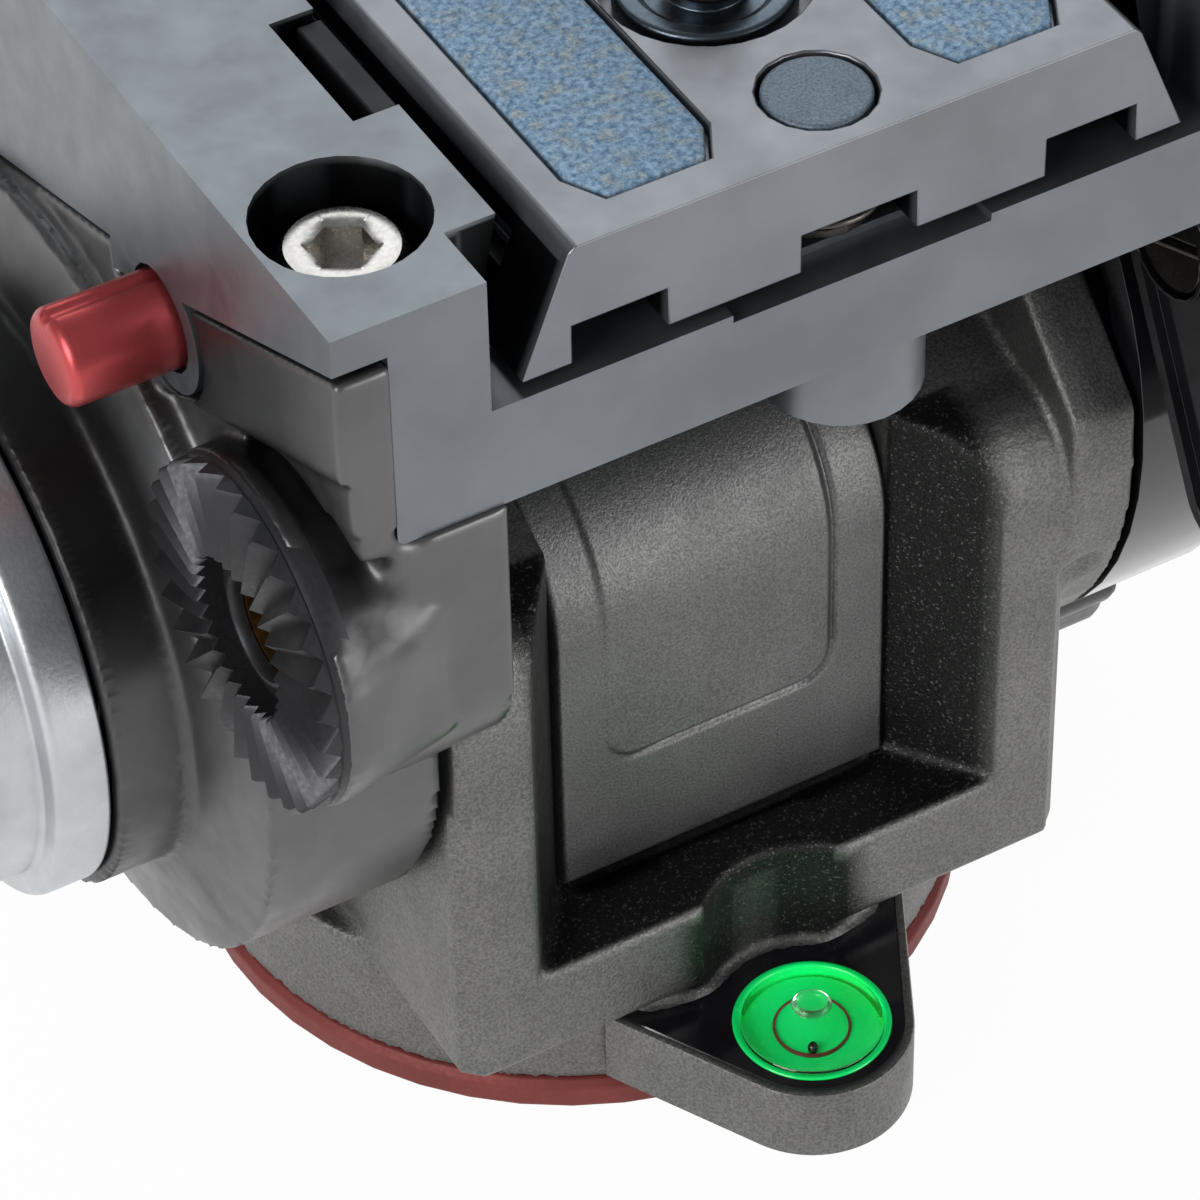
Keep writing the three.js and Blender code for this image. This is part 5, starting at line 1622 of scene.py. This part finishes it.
@dataclass
class ReceiverBlock:
    """The receiver, its socket screws, the plate clamp, the red button and the catch."""

    finishes: Finishes
    edge: float = 0.45
    catch_edge: float = 0.15
    jaw_edge: float = 0.25
    screw_places: tuple[tuple[float, float], ...] = (
        (-32.2, -31.0), (-32.2, 20.0), (32.2, -18.0), (32.2, 20.0),
    )
    screw_height: float = 91.6
    head_radius: float = 4.25
    head_height: float = 5.0
    hex_width: float = 4.0
    hex_depth: float = 2.6
    shank_radius: float = 2.4
    shank_length: float = 16.0
    knurls: int = 36
    knurl_depth: float = 0.09
    button_y: float = -16.1
    button_height: float = TILT_HEIGHT + 33.4
    button_radius: float = 3.5
    button_tip: float = 46.6
    button_back: float = 36.9
    groove_angle: float = 100
    groove_half_angle: float = 0.2
    groove_depth: float = 0.42
    stem_radius: float = 1.2
    stem_end: float = 29.9
    spring_x: float = -31.15
    spring: tuple[float, float, float, float] = (2.3, 0.3, 5.6, 3)

    def _knurled(self, radius: float, kind: int, step: int, angle: float) -> float:
        """Radius of a screw's ring at a step.

        Args:
            radius: Radius of the ring.
            kind: 0 for a plain ring, 1 for a knurled one, 2 for a hexagonal one.
            step: The step round the ring.
            angle: Its angle.

        Returns:
            The radius there.
        """
        sixth = math.pi / 6
        if kind == 1:
            return radius - self.knurl_depth * (step % 4 in (0, 1))
        if kind == 2:
            return radius * math.cos(sixth) / math.cos(abs((angle + sixth) % (2 * sixth) - sixth))
        return radius

    def _screw(self) -> bmesh.types.BMesh:
        """A socket screw with a fine knurl round its head.

        Returns:
            The shape with the underside of its head at height 0.
        """
        hexagon = self.hex_width / math.sqrt(3)
        rise, head, shank = self.head_height, self.head_radius, self.shank_radius
        return Shaping.carved(self.knurls * 4, [
            (shank - 0.4, -self.shank_length, 0), (shank, 0.4 - self.shank_length, 0), (shank, 0, 0),
            (head - 0.2, 0, 0), (head, 0.2, 1), (head, rise - 0.9, 1), (head - 0.12, rise - 0.6, 0),
            (head - 0.5, rise - 0.08, 0), (head - 0.9, rise, 0), (hexagon + 0.3, rise, 0),
            (hexagon, rise - 0.25, 2), (hexagon, rise - self.hex_depth, 2),
        ], self._knurled)

    def _grooved(self, radius: float, kind: int, _: int, angle: float) -> float:
        """Radius of the button's ring at an angle, with a groove for kind 1."""
        off = abs((angle - math.radians(self.groove_angle) + math.pi) % (2 * math.pi) - math.pi)
        return radius - kind * self.groove_depth * max(0.0, 1.0 - (off / self.groove_half_angle) ** 2)

    def _button(self) -> bmesh.types.BMesh:
        """The button with a groove along its top and its stem.

        Returns:
            The shape about its own axis, its tip at the far end.
        """
        stem, wide, tip, back = self.stem_radius, self.button_radius, self.button_tip, self.button_back
        return Shaping.carved(96, [
            (stem, self.stem_end, 0), (stem, back - 0.01, 0), (wide - 0.25, back, 1), (wide, back + 0.25, 1),
            (wide, tip - 0.75, 1), (wide - 0.1, tip - 0.45, 1), (wide - 0.35, tip - 0.15, 1),
            (wide - 0.75, tip, 1),
        ], self._grooved)

    def build(self) -> None:
        """Makes and dresses the block."""
        f = self.finishes
        Shaping.softened("receiver", f.receiver, self.edge, Body.TILT)
        shape = self._screw()
        shape.transform(Matrix.Scale(MM, 4))
        bmesh.ops.recalc_face_normals(shape, faces=shape.faces)
        screws = Shaping.loose("socket_screws", shape, f.steel)
        Repeats.spread(screws, [(x, y, self.screw_height) for x, y in self.screw_places], f.steel)
        Shaping.settle(
            screws, Body.TILT, "receiver_screw_1", "receiver_screw_2", "receiver_screw_3", "receiver_screw_4",
        )
        y, z = self.button_y, self.button_height
        place = Shaping.place(0, y, z, Along.LEFT)
        button = Shaping.closed("red_button", self._button(), place, f.red_button, TURNED_SHARP)
        Shaping.settle(button, Body.BUTTON, "safety_button")
        place = Shaping.place(self.spring_x, y, z, Along.LEFT)
        spring = Repeats.coil(
            "button_return_spring", self.spring, f.dark_steel, place, Body.TILT, "button_spring",
        )
        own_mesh(spring)
        # The catch gets the near-black painted shade.
        Shaping.softened("safety_catch", f.painted_shade_black, self.catch_edge, Body.CATCH)
        Shaping.softened("clamp_jaw", f.steel, self.jaw_edge, Body.JAW)
        dress(f.steel, "plate_lock_stud")
        Knob(8.6, 1.0, 7, 40.8, 53.8, 5.0, 38.8).build(
            "plate_lock_grip", 1.0, TILT_HEIGHT + 43.8, f.black, Body.PLATE_LOCK, "plate_lock_knob",
        )


@dataclass
class CameraPlate:
    """The sliding plate with its rubber pads, camera screw and sprung pin."""

    finishes: Finishes
    edge: float = 0.55
    seat_edge: float = 0.1
    near: float = 7.9
    far: float = 18.2
    rear: float = -37.4
    length: float = 83.2
    corner: float = 2.9
    corner_width: float = 1.55
    pad_low: float = 8.3
    pad_top: float = 9.45
    screw_y: float = -21.4
    screw_thread: tuple[float, float, float, float] = (2.7, 0.38, 5.2, 3.6)
    pin_y: float = -35.4
    pin_thread: tuple[float, float, float, float] = (4.15, 0.34, 3.6, 3.5)
    pin_spring: tuple[float, float, float, float] = (2.9, 0.35, 4.9, 3)
    pin_spring_low: float = PLATE_LOW + 1.05

    def _pad(self, name: str, side: int, node: str) -> None:
        """Makes one pad.

        Args:
            name: Name of the piece.
            side: 1 on the right, -1 on the left.
            node: The part it stands for.
        """
        front = self.rear + self.length
        near, far = self.near, self.far
        corners = [(x, y, 0.5) for x, y in (
            (near + self.corner_width, self.rear), (far - self.corner_width, self.rear),
            (far, self.rear + self.corner), (far, front - self.corner),
            (far - self.corner_width, front), (near + self.corner_width, front),
            (near, front - self.corner), (near, self.rear + self.corner),
        )]
        looped = Shaping.rounded([corners[-1], *corners, corners[0]], 4)[1:-1]
        outline = [(side * x, y) for x, y in looped]
        if side < 0:
            outline.reverse()
        rise = self.pad_top - self.pad_low
        shape = Shaping.domed(outline, [
            (self.pad_low, 0.0), (self.pad_low + rise * 0.7, 0.0), (self.pad_low + rise * 0.93, 0.12),
            (self.pad_top, 0.45),
        ])
        piece = Shaping.closed(name, shape, Shaping.place(0, 0, PLATE_LOW), self.finishes.pad, PAD_SHARP)
        Shaping.settle(piece, Body.PLATE, node)

    def _set_camera_screw(self) -> None:
        """Makes the camera screw with its dished collar and its thread."""
        f = self.finishes
        profile = Shaping.rounded([
            (0, 0.3, 0), (8.4, 0.3, 0.3), (8.4, 2.0, 0.3), (3.6, 2.0, 0.1), (3.6, 7.4, 0.1),
            (6.2, 7.4, 0.2), (6.2, 9.2, 0.5), (4.9, 9.2, 0.3), (4.3, 8.6, 0.4), (2.75, 8.6, 0.2),
            (2.75, 14.2, 0.4), (0, 14.65, 0),
        ], 5)
        place = Shaping.place(0, self.screw_y, PLATE_LOW)
        screw = Shaping.closed("camera_screw_body", Shaping.turned(profile), place, f.blue_steel)
        Shaping.settle(screw, Body.CAMERA_SCREW, "camera_screw")
        place = Shaping.place(0, self.screw_y, PLATE_LOW + 8.9)
        Repeats.coil("camera_screw_thread", self.screw_thread, f.dark_steel, place, Body.CAMERA_SCREW)

    def _set_pin(self) -> None:
        """Makes the sprung pin with its guide, spring and seat."""
        f = self.finishes
        profile = Shaping.rounded([
            (0, 2.9, 0), (1.5, 2.9, 0.2), (1.5, 6.1, 0.1), (3.7, 6.1, 0.2), (3.7, 9.5, 0.35), (0, 9.5, 0),
        ], 5)
        place = Shaping.place(0, self.pin_y, PLATE_LOW)
        pin = Shaping.closed("sprung_pin", Shaping.turned(profile), place, f.pin)
        Shaping.settle(pin, Body.PIN, "anti_twist_pin")
        place = Shaping.place(0, self.pin_y, PLATE_LOW + 1.1)
        Repeats.coil("pin_guide_thread", self.pin_thread, f.dark_steel, place, Body.PLATE)
        place = Shaping.place(0, self.pin_y, self.pin_spring_low)
        spring = Repeats.coil(
            "pin_return_spring", self.pin_spring, f.dark_steel, place, Body.PLATE, "pin_spring",
        )
        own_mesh(spring)
        Shaping.softened("pin_seat", f.dark_steel, self.seat_edge, Body.PLATE)

    def build(self) -> None:
        """Makes and dresses the plate."""
        Shaping.softened("slide_plate", self.finishes.plate, self.edge, Body.PLATE)
        self._pad("right_pad", 1, "pad_right")
        self._pad("left_pad", -1, "pad_left")
        self._set_camera_screw()
        self._set_pin()


def main() -> None:
    """Builds the scene: view, lamps, then every sub-assembly."""
    logging.basicConfig(level=logging.INFO, format="%(message)s")
    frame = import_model()
    FRAME_NODES.update(frame["nodes"])
    studio = Studio(bpy.context.scene)
    studio.set_camera()
    studio.set_ground()
    studio.set_lights()
    finishes = Finishes()
    for part in (RedBase, PanHousing, LeftDrum, RightDrum, ReceiverBlock, CameraPlate):
        part(finishes).build()
        LOG.info("built %s", part.__name__)


if __name__ == "__main__":
    main()
